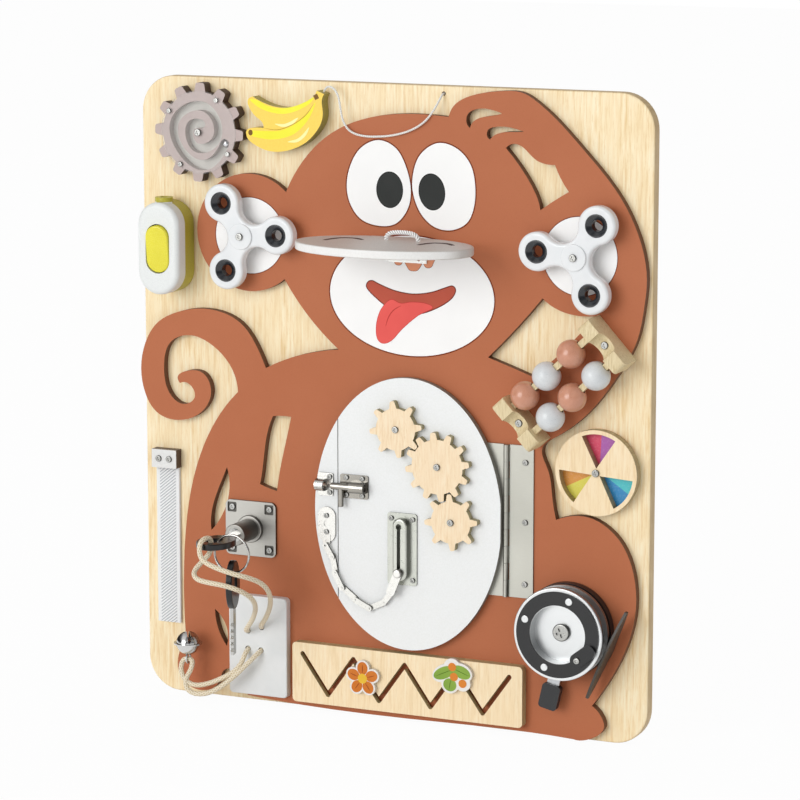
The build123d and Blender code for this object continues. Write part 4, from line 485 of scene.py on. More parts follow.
def clear_acrylic():
    """Cast acrylic: nearly invisible on its face, denser at its edge, with a faint polishing haze."""
    mat = blank("clear_acrylic")
    place = add(mat, "TexCoord", out="Object")
    haze = add(mat, "TexNoise", {"Vector": place, "Scale": 1 / (HAZE_MM * MM), "Detail": 3.0})
    rough = add(mat, "MapRange", {"Value": haze, 1: 0.3, 2: 0.7, 3: 0.12, 4: 0.2})
    tint = add(mat, "ValToRGB", {"Fac": haze}, stops=((0.3, "EEF1F1"), (0.7, "F4F6F6")))
    see = add(mat, "MapRange", {"Value": cut_walls(mat), 3: FACE_ALPHA, 4: EDGE_ALPHA})
    return finish(mat, tint, rough, Alpha=see)


EDGE_SHADE = 0.85            # share of the painted shade colour laid where the metal turns away from the front or lies in a pit
PIT_BLUR = 0.1
BRUSH_RELIEF = 0.0015


def plated_steel(name, light, deep, edge, rough=0.22, brush_mm=(3.0, 3.0, 3.0), rim=WALL_TURN, pit=None):
    """Plated steel: cloudy reflections and fine brush marks of brush_mm along X, Y and Z.

    It darkens to edge, a painted shade colour, where it turns away from the front, and at depths under pit, a
    painted shade in the hollows.
    """
    mat = blank(name)
    place = add(mat, "TexCoord", out="Object")
    along = add(mat, "Mapping", {"Vector": place, "Scale": per_mm(brush_mm)})
    brush = add(mat, "TexNoise", {"Vector": along, "Scale": 1.0, "Detail": 4.0, "Roughness": 0.7})
    cloud = add(mat, "TexNoise", {"Vector": place, "Scale": 1 / (CLOUD_MM * MM), "Detail": 1.0})
    tone = add(mat, "ValToRGB", {"Fac": cloud}, stops=((0.35, deep), (0.6, light)))
    facing = add(mat, "SeparateXYZ", {0: add(mat, "TexCoord", out="Normal")}, "Y")
    facing = add(mat, "Math", {0: facing}, operation="ABSOLUTE")
    # painted shade: darker towards the edge colour where the surface turns away from the front
    painted_shade = add(mat, "MapRange", {"Value": facing, 1: rim[0], 2: rim[1], 3: EDGE_SHADE, 4: 0.0})
    if pit:
        y = add(mat, "SeparateXYZ", {0: place}, "Y")
        below = add(mat, "MapRange", {"Value": y, 1: -(pit + PIT_BLUR) * MM, 2: -(pit - PIT_BLUR) * MM,
                                      4: EDGE_SHADE})
        painted_shade = add(mat, "Math", {0: painted_shade, 1: below}, operation="MAXIMUM")
    tone = add(mat, "Mix", {0: painted_shade, 6: tone, 7: edge}, 2, data_type="RGBA")
    rough = add(mat, "MapRange", {"Value": brush, 1: 0.25, 2: 0.75, 3: rough * 0.75, 4: rough * 1.35})
    return finish(mat, tone, rough, brush, BRUSH_RELIEF, Metallic=1.0)


dress(spiral_gear_stain(), "spiral_gear")
COVER_GAP = 0.15             # the disc clears the gear by a hair, so that the two faces don't share a plane
COVER_BEVEL = 0.4
COVER_HOLE_R = 2.0
cover_low, cover_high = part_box("spiral_cover")
cover_r = (cover_high[0] - cover_low[0]) / 2 / MM
cover_back, cover_front = SPIRAL_FRONT + COVER_GAP, -cover_low[1] / MM
cover_profile = [(cover_r, cover_back), (cover_r, cover_front - COVER_BEVEL),
                 (cover_r - COVER_BEVEL, cover_front), (COVER_HOLE_R, cover_front),
                 (COVER_HOLE_R, cover_back)]
clear_disc = turned("clear_spiral_disc", cover_profile, [SPIRAL_CENTRE], clear_acrylic(), "spiral",
                    closed=True)
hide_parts("spiral_cover")
dress(plated_steel("polished_ball_steel", "DCDDE0", "D0D1D5", "9A9B9F", 0.08), "spiral_ball")
SCREW_BRUSH = (0.8, 0.8, 0.8)
# painted shade: the sides of the screw heads darken to near black
screw_steel = plated_steel("zinc_screw_steel", "BABAB6", "A6A6A2", "2A2A28", 0.3, SCREW_BRUSH, (0.6, 0.97))
dress(screw_steel, "screws", "door_screws", "spiral_screws")


# ---------------------------------------------------------------- bananas and their cord
# Laser-cut fibre board under yellow gloss paint, with printed lights, joints and tips, on a thin white
# braided polyester cord. The eye gets saturated yellow, olive walls and a fine two-way braid.
BANANA_FRONT = -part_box("bananas")[0][1] / MM
BANANA_LIGHTS = {
    "upper": [(-103.5, 211.0), (-96.0, 205.6), (-86.0, 202.6), (-76.0, 202.2), (-66.0, 205.0), (-57.0, 210.0),
              (-54.0, 214.5), (-60.0, 211.2), (-70.0, 207.4), (-80.0, 206.0), (-90.0, 207.4), (-98.0, 211.0)],
    "lower": [(-103.0, 189.2), (-94.0, 189.6), (-80.0, 190.4), (-68.0, 195.6), (-58.0, 203.4),
              (-52.5, 211.0), (-55.5, 203.0), (-62.0, 194.2), (-71.0, 187.4), (-84.0, 184.0),
              (-96.0, 184.4), (-103.5, 186.2)]}
BANANA_SHINES = {"upper": [(-84.0, 194.8), (-77.0, 194.0), (-70.5, 196.4), (-66.0, 199.8)],
                 "lower": [(-74.0, 182.6), (-66.5, 184.0), (-61.0, 188.2), (-57.5, 193.4)]}
BANANA_JOINT = [(-93.0, 191.6), (-82.0, 190.8), (-70.0, 195.0), (-60.0, 202.0), (-54.0, 210.0)]
BANANA_STALK = [(-54.2, 215.6), (-51.2, 217.2), (-49.6, 214.0), (-52.6, 212.6)]
BANANA_TIP = (-103.2, 188.0, 1.7, 2.0)
SHINE_WIDTH, JOINT_WIDTH = 2.2, 0.5
LIGHT_INK, JOINT_INK, TOP_INK = 0.06, 0.08, 0.1     # thickness of each print
PEEL_MM = 1.2
PEEL_RELIEF = 0.012


def painted_board(name, tones, walls, rough=0.4):
    """Sprayed fibre board: a faint orange peel on the faces and another colour on the cut walls, which on the
    flap is a painted shade.
    """
    mat = blank(name)
    place = add(mat, "TexCoord", out="Object")
    peel = add(mat, "TexNoise", {"Vector": place, "Scale": 1 / (PEEL_MM * MM), "Detail": 3.0})
    tone = add(mat, "ValToRGB", {"Fac": peel}, stops=((0.3, tones[0]), (0.7, tones[1])))
    char = add(mat, "ValToRGB", {"Fac": peel}, stops=((0.3, walls[0]), (0.7, walls[1])))
    tone = add(mat, "Mix", {0: cut_walls(mat), 6: tone, 7: char}, 2, data_type="RGBA")
    rough = add(mat, "MapRange", {"Value": peel, 1: 0.3, 2: 0.7, 3: rough - 0.04, 4: rough + 0.06})
    return finish(mat, tone, rough, peel, PEEL_RELIEF)


dress(painted_board("gloss_yellow_paint", ("FBD246", "FDD850"), ("8E8232", "A5993F"), 0.34), "bananas")
bright_yellow = cured_ink("ink_banana_light", "FCF84E", "F8F044")
pale_yellow = cured_ink("ink_banana_shine", "FDFBB8", "FBF8A6")
tip_brown = cured_ink("ink_banana_tip", "8B6A3B", "76552C")
joint_ink = cured_ink("ink_banana_joint", "C8A22E", "B99226")
for key, loop in BANANA_LIGHTS.items():
    light = smooth_line(loop, 5, True)
    printed("banana_light_" + key, light, BANANA_FRONT, LIGHT_INK, bright_yellow, "bananas")
for key, line in BANANA_SHINES.items():
    shine = stroke(smooth_line(line), SHINE_WIDTH)
    printed("banana_shine_" + key, shine, BANANA_FRONT, TOP_INK, pale_yellow, "bananas")
joint = stroke(smooth_line(BANANA_JOINT), JOINT_WIDTH)
printed("banana_joint", joint, BANANA_FRONT, JOINT_INK, joint_ink, "bananas")
printed("banana_tip", oval(*BANANA_TIP), BANANA_FRONT, TOP_INK, tip_brown, "bananas")
printed("banana_stalk", BANANA_STALK, BANANA_FRONT, TOP_INK, tip_brown, "bananas")

# The cord's route is a list of (x, z, depth), from the stalk to its hole near the top of the head.
BANANA_CORD = [(-49.2, 215.9, 15.2), (-47.0, 221.6, 15.6), (-41.2, 222.2, 16.6), (-36.2, 217.2, 17.6),
               (-34.2, 208.4, 18.2), (-32.4, 198.8, 18.5), (-27.0, 191.4, 18.5), (-17.0, 188.7, 18.3),
               (-5.0, 188.9, 18.1), (7.0, 190.3, 18.1), (19.5, 194.0, 18.1), (29.6, 200.0, 18.0),
               (35.8, 207.6, 17.4), (39.2, 214.4, 15.8), (40.6, 219.7, 12.2), (40.5, 219.6, 6.6),
               (40.6, 219.7, 1.2)]
CORD_BLEND = ("bananas", "board", (-0.047, -0.016, 0.222), (0.0, -0.018, 0.189))     # points in metres
THIN_CORD_R = 0.75
THIN_YARN_MM = 0.5
THIN_CORD_LAY = 3.0          # length in which a strand goes round once
THIN_CORD_PLAIT = 0.16
THIN_CORD_STRANDS = 8
CORD_STEP = 0.35
CORD_AROUND = 30
SAME_POINT = 1e-7


def cord_line(route):
    """Points of the smooth line that a cord's route controls, in metres."""
    data = bpy.data.curves.new("route", "CURVE")
    data.dimensions = "3D"
    data.resolution_u = 24
    line = data.splines.new("NURBS")
    line.points.add(len(route) - 1)
    for point, (x, z, depth) in zip(line.points, route):
        point.co = (x * MM, -depth * MM, z * MM, 1.0)
    line.order_u = 3
    line.use_endpoint_u = True
    helper = bpy.data.objects.new("route", data)
    bpy.context.scene.collection.objects.link(helper)
    mesh = bpy.data.meshes.new_from_object(helper)
    points = np.array([v.co[:] for v in mesh.vertices])
    bpy.data.objects.remove(helper)
    bpy.data.meshes.remove(mesh)
    return points[np.r_[True, np.linalg.norm(np.diff(points, axis=0), axis=1) > SAME_POINT]]


def even_steps(points, step):
    """The line cut into equal steps of about step mm, with its length in metres."""
    run = np.r_[0, np.cumsum(np.linalg.norm(np.diff(points, axis=0), axis=1))]
    t = np.linspace(0, run[-1], int(round(run[-1] / (step * MM))) + 1)
    return np.c_[[np.interp(t, run, points[:, k]) for k in range(3)]].T, run[-1]


def sides_along(points):
    """Two side directions at each point of a line, carried along it without turning."""
    along = np.gradient(points, axis=0)
    along /= np.linalg.norm(along, axis=1)[:, None]
    side = np.cross(along[0], (0.3, 0.2, 1.0))     # any direction that no cord here starts in
    sides = []
    for t in along:
        side = side - t * np.dot(side, t)
        side /= np.linalg.norm(side)
        sides.append(side.copy())
    return np.array(sides), np.cross(along, np.array(sides))


PLAIN_STRAND = 0.9           # brightness of a strand that isn't plaited


def braided_tube(name, points, r, lay, mat, body, around, plait=0.0, strands=8):
    """Tube of radius r mm whose strands cross both ways and stand out by plait times the radius."""
    side, up = sides_along(points)
    run = np.r_[0, np.cumsum(np.linalg.norm(np.diff(points, axis=0), axis=1))] / (lay * MM)
    verts = []
    raised = []
    for p, s, u, turns in zip(points, side, up, run):
        for k in range(around):
            a = 2 * math.pi * k / around
            left = math.sin(strands / 2 * a + 2 * math.pi * turns)
            right = math.sin(strands / 2 * a - 2 * math.pi * turns)
            swell = r * (1 - plait + plait * max(left, right))
            verts.append(p / MM + (s * math.cos(a) + u * math.sin(a)) * swell)
            # painted shade: the strand value is low in the gaps between the strands and high on their crowns
            raised.append(max(left, right) * 0.5 + 0.5 if plait else PLAIN_STRAND)
    faces = []
    for i in range(len(points) - 1):
        for k in range(around):
            m = (k + 1) % around
            faces.append((i * around + k, i * around + m, (i + 1) * around + m, (i + 1) * around + k))
    faces.append(list(range(around)))
    faces.append([(len(points) - 1) * around + k for k in range(around)])
    tube = mesh_piece(name, verts, faces, mat, body, 80.0)
    tube.data.attributes.new("strand", "FLOAT", "POINT").data.foreach_set("value", raised)
    return tube


FUZZ_RELIEF = 0.1


def braided_yarn(name, light, mid, dark, yarn_mm):
    """Braid: bright strands over painted shade in the gaps between them, read from the strand attribute, with
    fine fibres across each.
    """
    mat = blank(name)
    place = add(mat, "TexCoord", out="Object")
    strand = add(mat, "Attribute", out="Fac", attribute_name="strand")
    fibre = add(mat, "TexNoise", {"Vector": place, "Scale": 1 / (yarn_mm * 0.3 * MM), "Detail": 4.0,
                                  "Roughness": 0.7})
    tone = add(mat, "ValToRGB", {"Fac": strand}, stops=((0.48, dark), (0.72, mid), (0.95, light)))
    worn = add(mat, "MapRange", {"Value": fibre, 1: 0.5, 2: 0.75, 3: 0.0, 4: 0.4})
    tone = add(mat, "Mix", {0: worn, 6: tone, 7: mid}, 2, data_type="RGBA")
    return finish(mat, tone, 0.85, fibre, FUZZ_RELIEF, Sheen_Weight=0.2)


def lay_cord(name, route, r, mat, lay, plait, strands, body, blend=None, **facts):
    """A cord along its route.

    blend, when given, only bakes the tube's placement into its mesh; the bodies and points in it are not
    used.
    """
    points, length = even_steps(cord_line(route), CORD_STEP)
    tube = braided_tube(name, points, r, lay, mat, body, CORD_AROUND, plait, strands)
    if blend:
        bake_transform(tube)
    return tube


thin_braid = braided_yarn("braided_polyester", "FAFAF7", "F0EEE9", "C4C0B6", THIN_YARN_MM)
pull_cord = lay_cord("banana_cord_braid", BANANA_CORD, THIN_CORD_R, thin_braid, THIN_CORD_LAY,
                     THIN_CORD_PLAIT, THIN_CORD_STRANDS, None, CORD_BLEND)
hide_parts("banana_cord")


# ---------------------------------------------------------------- muzzle flap
# White-sprayed board on a bent steel hinge, with two printed arcs on its top and a handle of twisted
# white cord whose ends pass through the flap.
FLAP_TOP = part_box("flap")[1][2] / MM
ARC_WIDTH = 4.2
ARC_TAPER = 0.4
ARC_INK = 0.08
FLAP_ARCS = {"left": [(-28.7, 56.0), (-26.5, 46.5), (-22.7, 40.0), (-14.0, 38.2), (-5.3, 43.5)],
             "right": [(41.0, 53.3), (43.5, 44.5), (47.1, 39.4), (56.0, 39.2), (63.6, 45.8)]}
# painted shade: the flap's top and sides take a greyer white than its front
dress(painted_board("white_flap_spray", ("F2F1EF", "ECEBE8"), ("D0CBC6", "C7C2BD"), 0.42), "flap")
dress(plated_steel("zinc_hinge_steel", "C9C9C5", "BDBDB9", "7A7A76", 0.34), "flap_bracket", "flap_leaf")
arc_ink = cured_ink("ink_flap_arc", "4A352E", "402D27")
for side, line in FLAP_ARCS.items():
    loop = stroke(smooth_line(line), ARC_WIDTH, ARC_TAPER)
    low, high = [[(x, -depth, FLAP_TOP + lift) for x, depth in loop] for lift in (0.0, ARC_INK)]
    slab("flap_arc_" + side, low, high, arc_ink, "flap")
HANDLE = [(8.8, 119.0), (8.9, 122.2), (11.0, 124.4), (15.0, 125.4), (20.8, 125.7), (26.5, 125.4),
          (30.5, 124.2), (32.6, 122.0), (32.7, 119.0)]
HANDLE_DEPTH = 35.0
HANDLE_STEP = 0.3
HANDLE_STRANDS = 3
HANDLE_STRAND_R = 0.8
HANDLE_LAY = 5.2
HANDLE_AROUND = 10
VALLEY_SHADE_RATE = 3.5           # how fast the painted shade darkens a strand towards the valley beside it
twisted_cord = braided_yarn("twisted_polyester", "FFFFFF", "F1F0EE", "86827C", THIN_YARN_MM)
handle_line = np.array([(x * MM, -HANDLE_DEPTH * MM, z * MM) for x, z in smooth_line(HANDLE, 14)])
handle_points, handle_length = even_steps(handle_line, HANDLE_STEP)
handle_side, handle_up = sides_along(handle_points)
full_twist = 2 * math.pi * handle_length / (HANDLE_LAY * MM)
for k in range(HANDLE_STRANDS):
    twist = np.linspace(0, full_twist, len(handle_points)) + k * 2 * math.pi / HANDLE_STRANDS
    strand = handle_side * np.cos(twist)[:, None] + handle_up * np.sin(twist)[:, None]
    piece = braided_tube("handle_strand_%d" % (k + 1), handle_points + strand * HANDLE_STRAND_R * MM,
                         HANDLE_STRAND_R, HANDLE_LAY, twisted_cord, "flap", HANDLE_AROUND)
    out = np.array([v.co for v in piece.data.vertices]) - np.repeat(handle_points, HANDLE_AROUND, axis=0)
    # painted shade: the strand attribute falls towards the valleys between the three strands
    valley_shade = 1 - VALLEY_SHADE_RATE * (1 - np.linalg.norm(out, axis=1) / (2 * HANDLE_STRAND_R * MM))
    piece.data.attributes["strand"].data.foreach_set("value", valley_shade)
    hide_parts("flap_handle")


# ---------------------------------------------------------------- bead frame
# Two beech blocks, sanded and oiled, with three turned rods; each rod carries one bead in salmon-brown
# gloss lacquer and one in speckled stone-white paint.
BEECH_STREAK = (1.0, 1.0, 9.0)
BEAD_CLOUD_MM = 5.0
BEAD_SPECK_MM = 0.7
BEAD_RELIEF = 0.01
BEAD_COAT = 0.5
dress(lacquered_wood("bare_beech", "E9D9B2", "DFCCA1", "CAB383", BEECH_STREAK), "bead_frame")


def lacquered_bead(name, code, deep, speck, rough):
    """A dipped bead: an even coat from code to deep under a clear skin, with small specks in it."""
    mat = blank(name)
    place = add(mat, "TexCoord", out="Object")
    cloud = add(mat, "TexNoise", {"Vector": place, "Scale": 1 / (BEAD_CLOUD_MM * MM), "Detail": 2.0})
    fleck = add(mat, "TexNoise", {"Vector": place, "Scale": 1 / (BEAD_SPECK_MM * MM), "Detail": 2.0,
                                  "Roughness": 0.8})
    tone = add(mat, "ValToRGB", {"Fac": cloud}, stops=((0.3, code), (0.75, deep)))
    specks = add(mat, "MapRange", {"Value": fleck, 1: 0.60, 2: 0.68, 3: 0.0, 4: 0.6})
    tone = add(mat, "Mix", {0: specks, 6: tone, 7: speck}, 2, data_type="RGBA")
    return finish(mat, tone, rough, fleck, BEAD_RELIEF, Coat_Weight=BEAD_COAT)


dress(lacquered_bead("salmon_bead_lacquer", "D3977B", "C98B6F", "B7785C", 0.28), "bead_1", "bead_3", "bead_5")
dress(lacquered_bead("stone_bead_paint", "E0E3E4", "D4D8DA", "B9BEC0", 0.45), "bead_2", "bead_4", "bead_6")


# ---------------------------------------------------------------- colour wheel
# A lacquered birch disc with three windows turns on one screw over a fibre board disc, which is sprayed
# in six sectors. The eye gets a clean matt colour in each window.
WHEEL_CENTRE = (158.2, -34.3)
SECTOR_RELIEF = 0.02
# Where each sector starts, as a share of a turn from -X by way of -Z. The first sector wraps round.
SECTOR_STARTS = ((0.0, "E39B42"), (0.072, "E6DE58"), (0.24, "2F8FCB"), (0.406, "4FCBD3"), (0.57, "B25FB4"),
                 (0.739, "DF4668"), (0.9, "E39B42"))


def sprayed_sectors():
    """Colour by the angle about the wheel's centre, a little paler where the spray is thin."""
    mat = blank("sprayed_sectors")
    place = add(mat, "TexCoord", out="Object")
    hub = (WHEEL_CENTRE[0] * MM, 0.0, WHEEL_CENTRE[1] * MM)
    local = add(mat, "VectorMath", {0: place, 1: hub}, operation="SUBTRACT")
    dx = add(mat, "SeparateXYZ", {0: local}, "X")
    dz = add(mat, "SeparateXYZ", {0: local}, "Z")
    angle = add(mat, "Math", {0: dz, 1: dx}, operation="ARCTAN2")
    turn = add(mat, "MapRange", {"Value": angle, 1: -math.pi, 2: math.pi})
    tone = add(mat, "ValToRGB", {"Fac": turn}, stops=SECTOR_STARTS)
    tone.node.color_ramp.interpolation = "CONSTANT"
    peel = add(mat, "TexNoise", {"Vector": place, "Scale": 1 / (PEEL_MM * MM), "Detail": 3.0})
    worn = add(mat, "MapRange", {"Value": peel, 1: 0.5, 2: 0.8, 3: 0.0, 4: 0.12})
    tone = add(mat, "Mix", {0: worn, 6: tone, 7: "FFFFFF"}, 2, data_type="RGBA")
    return finish(mat, tone, 0.45, peel, SECTOR_RELIEF)


dress(sprayed_sectors(), "colour_disc")
WHEEL_WALLS = ("A08D69", "BBA981")
dress(lacquered_wood("birch_wheel", "FCE9C6", "F8E0B7", "EBCD9D", BOARD_STREAK, WHEEL_WALLS), "colour_wheel")


# ---------------------------------------------------------------- belly door
# Fibre board in white spray, hung on a long satin steel hinge; its slide bolt, chain and chain track are
# bright nickel-plated pressings, and three birch gears turn on it.
BELLY_TONES, BELLY_WALLS = ("F2F4F4", "EDEFEE"), ("8E8D85", "7C7B74")
dress(painted_board("white_belly_spray", BELLY_TONES, BELLY_WALLS, 0.4), "belly_strip", "belly_door")
HINGE_BRUSH = (6.0, 6.0, 0.5)
hinge_steel = plated_steel("satin_hinge_steel", "BBBAB1", "B0AFA6", "85847C", 0.4, HINGE_BRUSH)
dress(hinge_steel, "hinge_panel_leaf", "hinge_door_leaf")
GEAR_STREAK = (1.5, 4.0, 14.0)
GEAR_WALLS = ("8B805C", "B0A47A")
gear_birch = lacquered_wood("birch_gears", "FCEACB", "F8E0BC", "EBCEA3", GEAR_STREAK, GEAR_WALLS)
dress(gear_birch, "gear_1", "gear_2", "gear_3")
bolt_nickel = plated_steel("bolt_nickel_plate", "B8B4AC", "A5A198", "2E2C29", 0.18, rim=(0.3, 0.95))
dress(bolt_nickel, "bolt_plate", "bolt_rod")
chain_nickel = plated_steel("chain_nickel_plate", "ECEBE6", "E2E1DB", "2A2926", 0.28, rim=(0.3, 0.97))
dress(chain_nickel, "strip_fittings", "door_chain")
dress(plated_steel("dull_nickel_track", "CCCEC5", "C2C4BB", "4A4C46", 0.3), "chain_track")


# ---------------------------------------------------------------- zigzag plate and its tokens
# Lacquered birch plate with zigzag slots, darker where they were cut; two white-sprayed tokens slide in
# them, printed with a flower and a leafy sprig.
SLOT_WALLS = ("B0A074", "C9BA8C")
dress(lacquered_wood("birch_zigzag", "FCEAC8", "F9E2BA", "EDD2A4", BOARD_STREAK, SLOT_WALLS), "zigzag_plate")
TOKEN_TONES, TOKEN_WALLS = ("F0EEEA", "E9E6E1"), ("DCD6CC", "CFC8BC")
dress(painted_board("white_token_spray", TOKEN_TONES, TOKEN_WALLS, 0.4), "token_flower", "token_sprig")
TOKEN_FRONT = -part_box("token_flower")[0][1] / MM
FLOWER = (-14.2, -195.3)
SPRIG = (55.0, -185.8)
PETAL_TURNS = [90 + 72 * i for i in range(5)]
PETAL_OUT = 7.4              # from the flower's middle to a petal's
PETAL = (4.7, 4.0)
PETAL_LINE = (4.0, 6.0, 8.0, 10.0)
HEART_R = 3.6
# Each leaf is (x, z, half its length, half its width, tilt) from the sprig's middle.
LEAVES = ((-6.0, 1.6, 8.6, 4.2, 25), (7.2, 3.2, 7.2, 4.4, -20), (-1.5, -6.6, 4.6, 5.0, 80))
LEAF_LINE = (-0.8, -0.3, 0.3, 0.8)
FRUITS = ((8.2, -4.8), (0.2, 6.4), (1.6, -0.6))
FRUIT_R = 3.0
PETAL_LINE_WIDTH, VEIN_WIDTH = 0.6, 0.5
LOW_LAYER, LINE_LAYER, FRUIT_LAYER, HEART_LAYER = 2, 4, 4.5, 5
PETAL_OVERLAP, LEAF_OVERLAP = 0.2, 0.3     # layers by which each lies over the one before
petal_ink = cured_ink("ink_petal", "D9833A", "CF7630")
petal_line = cured_ink("ink_petal_line", "A9562A", "9C4C22")
heart_ink = cured_ink("ink_heart", "F2C84B", "E9BC3D")
leaf_ink = cured_ink("ink_leaf", "8FB04E", "7EA042")
vein_ink = cured_ink("ink_vein", "5D7C2E", "547127")
fruit_ink = cured_ink("ink_fruit", "E08A3C", "D67C30")


def token_print(name, loop, layer, mat, body):
    """Print on a token's face, a number of ink layers high."""
    printed(name, loop, TOKEN_FRONT, INK_STEP * layer, mat, body)


for i, turn in enumerate(PETAL_TURNS):
    c, s = math.cos(math.radians(turn)), math.sin(math.radians(turn))
    petal = oval(FLOWER[0] + PETAL_OUT * c, FLOWER[1] + PETAL_OUT * s, *PETAL, turn, 40)
    vein = [(FLOWER[0] + r * c, FLOWER[1] + r * s) for r in PETAL_LINE]
    token_print("petal_%d" % (i + 1), petal, LOW_LAYER + i * PETAL_OVERLAP, petal_ink, "flower")
    token_print("petal_line_%d" % (i + 1), stroke(vein, PETAL_LINE_WIDTH), LINE_LAYER, petal_line, "flower")
token_print("flower_heart", oval(*FLOWER, HEART_R, HEART_R, 0, 40), HEART_LAYER, heart_ink, "flower")
for i, (dx, dz, rx, rz, tilt) in enumerate(LEAVES):
    cx, cz = SPRIG[0] + dx, SPRIG[1] + dz
    c, s = math.cos(math.radians(tilt)), math.sin(math.radians(tilt))
    leaf = oval(cx, cz, rx, rz, tilt, 40)
    vein = [(cx + u * rx * c, cz + u * rx * s) for u in LEAF_LINE]
    token_print("leaf_%d" % (i + 1), leaf, LOW_LAYER + i * LEAF_OVERLAP, leaf_ink, "sprig")
    token_print("leaf_vein_%d" % (i + 1), stroke(vein, VEIN_WIDTH), LINE_LAYER, vein_ink, "sprig")
for i, (dx, dz) in enumerate(FRUITS):
    fruit = oval(SPRIG[0] + dx, SPRIG[1] + dz, FRUIT_R, FRUIT_R, 0, 36)
    token_print("fruit_%d" % (i + 1), fruit, FRUIT_LAYER, fruit_ink, "sprig")


# ---------------------------------------------------------------- lock, keys, bell and ropes
# Nickel-plated lock plate and barrel, nickel blades with black moulded bows, a round nickel bell, and two
# lengths of beige braided cotton rope that leave a white moulded plate.
LOCK_BRUSH = (7.0, 7.0, 0.8)
LOCK_SHADE_TURN = (0.5, 0.97)
PIT_SHADE_DEPTH = 17.6          # just under the plate's face, so that the sunk squares at its screws get painted shade
# painted shade: the lock darkens to its third colour where it turns away from the front and in the sunk
# squares
lock_nickel = plated_steel("satin_lock_nickel", "B6B4AE", "A8A6A0", "45423E", 0.38, LOCK_BRUSH, LOCK_SHADE_TURN,
                           PIT_SHADE_DEPTH)
dress(lock_nickel, "lock_body")
dress(plated_steel("key_nickel", "D2D1CD", "C4C3BF", "8A8985", 0.2), "key_blade", "spare_blade", "key_ring")
dress(moulded_abs("abs_bow_black", "0D0E10", "08090A", 0.3, coat=0.15), "key_bow", "spare_bow")
dress(moulded_abs("abs_cord_plate", "E6E8E8", "DFE2E2", 0.34), "cord_plate")
dress(plated_steel("bell_nickel", "D9D8D6", "CFCECC", "A5A4A2", 0.14), "bell")

# Both routes are lists of (x, z, depth): out of the plate, through the key's bow or the bell's loop, and
# back into the plate.
UPPER_ROPE = [(-96.4, -167.3, 20.0), (-96.0, -166.4, 26.0), (-88.5, -158.4, 31.0), (-78.6, -145.4, 42.0),
              (-71.2, -131.8, 58.0), (-69.8, -122.1, 72.0), (-73.8, -116.0, 84.0), (-82.0, -112.4, 92.0),
              (-94.2, -109.0, 94.0), (-104.8, -105.2, 94.0), (-109.0, -99.5, 92.5), (-108.0, -90.6, 91.5),
              (-106.6, -90.6, 78.6), (-106.4, -101.2, 78.6), (-112.0, -108.0, 81.0), (-117.0, -114.8, 86.0),
              (-112.5, -118.8, 91.5), (-102.0, -119.8, 94.0), (-90.0, -120.5, 94.0), (-80.0, -124.0, 89.0),
              (-76.5, -131.8, 76.0), (-82.0, -142.9, 58.0), (-93.0, -156.0, 41.0), (-102.5, -165.5, 31.5),
              (-107.2, -170.2, 26.5), (-107.4, -170.9, 20.0)]
LOWER_ROPE = [(-107.4, -184.2, 20.0), (-107.2, -185.4, 26.0), (-108.0, -193.0, 31.0), (-112.5, -199.2, 34.0),
              (-121.5, -204.5, 35.5), (-132.5, -209.8, 36.0), (-144.0, -212.5, 36.0), (-152.6, -209.2, 35.0),
              (-156.6, -201.7, 33.5), (-155.4, -194.3, 31.2), (-147.6, -193.9, 31.0), (-147.9, -201.0, 32.8),
              (-151.2, -207.8, 35.5), (-150.0, -214.6, 37.8), (-142.8, -218.0, 38.6), (-131.5, -216.4, 38.5),
              (-120.2, -209.6, 37.5), (-110.2, -200.6, 35.0), (-101.5, -191.0, 31.0), (-97.2, -185.6, 26.0),
              (-97.0, -184.5, 20.0)]
ROPE_BLEND = ("board", "key", (-0.105, -0.03, -0.165), (-0.1, -0.08, -0.115))     # points in metres
ROPE_R = 1.8
ROPE_YARN_MM = 0.9
ROPE_LAY = 3.8
ROPE_PLAIT = 0.1
ROPE_STRANDS = 12
cotton_braid = braided_yarn("braided_cotton", "F4EAD6", "EBDEC3", "CDBB93", ROPE_YARN_MM)
upper = lay_cord("rope_upper_braid", UPPER_ROPE, ROPE_R, cotton_braid, ROPE_LAY, ROPE_PLAIT, ROPE_STRANDS,
                 None, ROPE_BLEND)
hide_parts("rope_upper")
lower = lay_cord("rope_lower_braid", LOWER_ROPE, ROPE_R, cotton_braid, ROPE_LAY, ROPE_PLAIT, ROPE_STRANDS,
                 "board", with_pieces=[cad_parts["bell"]])
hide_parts("rope_lower")


# ---------------------------------------------------------------- webbing strap
# Woven polypropylene webbing with raised slanting ribs between two plain edges, stretched down the board
# under a screwed white clamp.
YARN_MM = 0.45
YARN_RELIEF = 0.08
RIB_MM = 2.3
RIB_SLANT = 0.8
RIB_HEIGHT = 0.42
EDGE_MM = 3.0
EDGE_PICK_MM = 0.9           # one row of the plain weave in the edges
EDGE_HEIGHT = 0.12
# painted shade of the plain edges: its mean value and its swing with each pick
EDGE_TONE, EDGE_SWING = 0.55, 0.2
STRAP_INSET = 0.05           # keeps the webbing within its CAD node
STRAP_HOLLOW = 0.45          # from the CAD face down to the valley between two ribs
SIDE_ROUND = 0.5
COLUMNS, ROWS = 61, 401


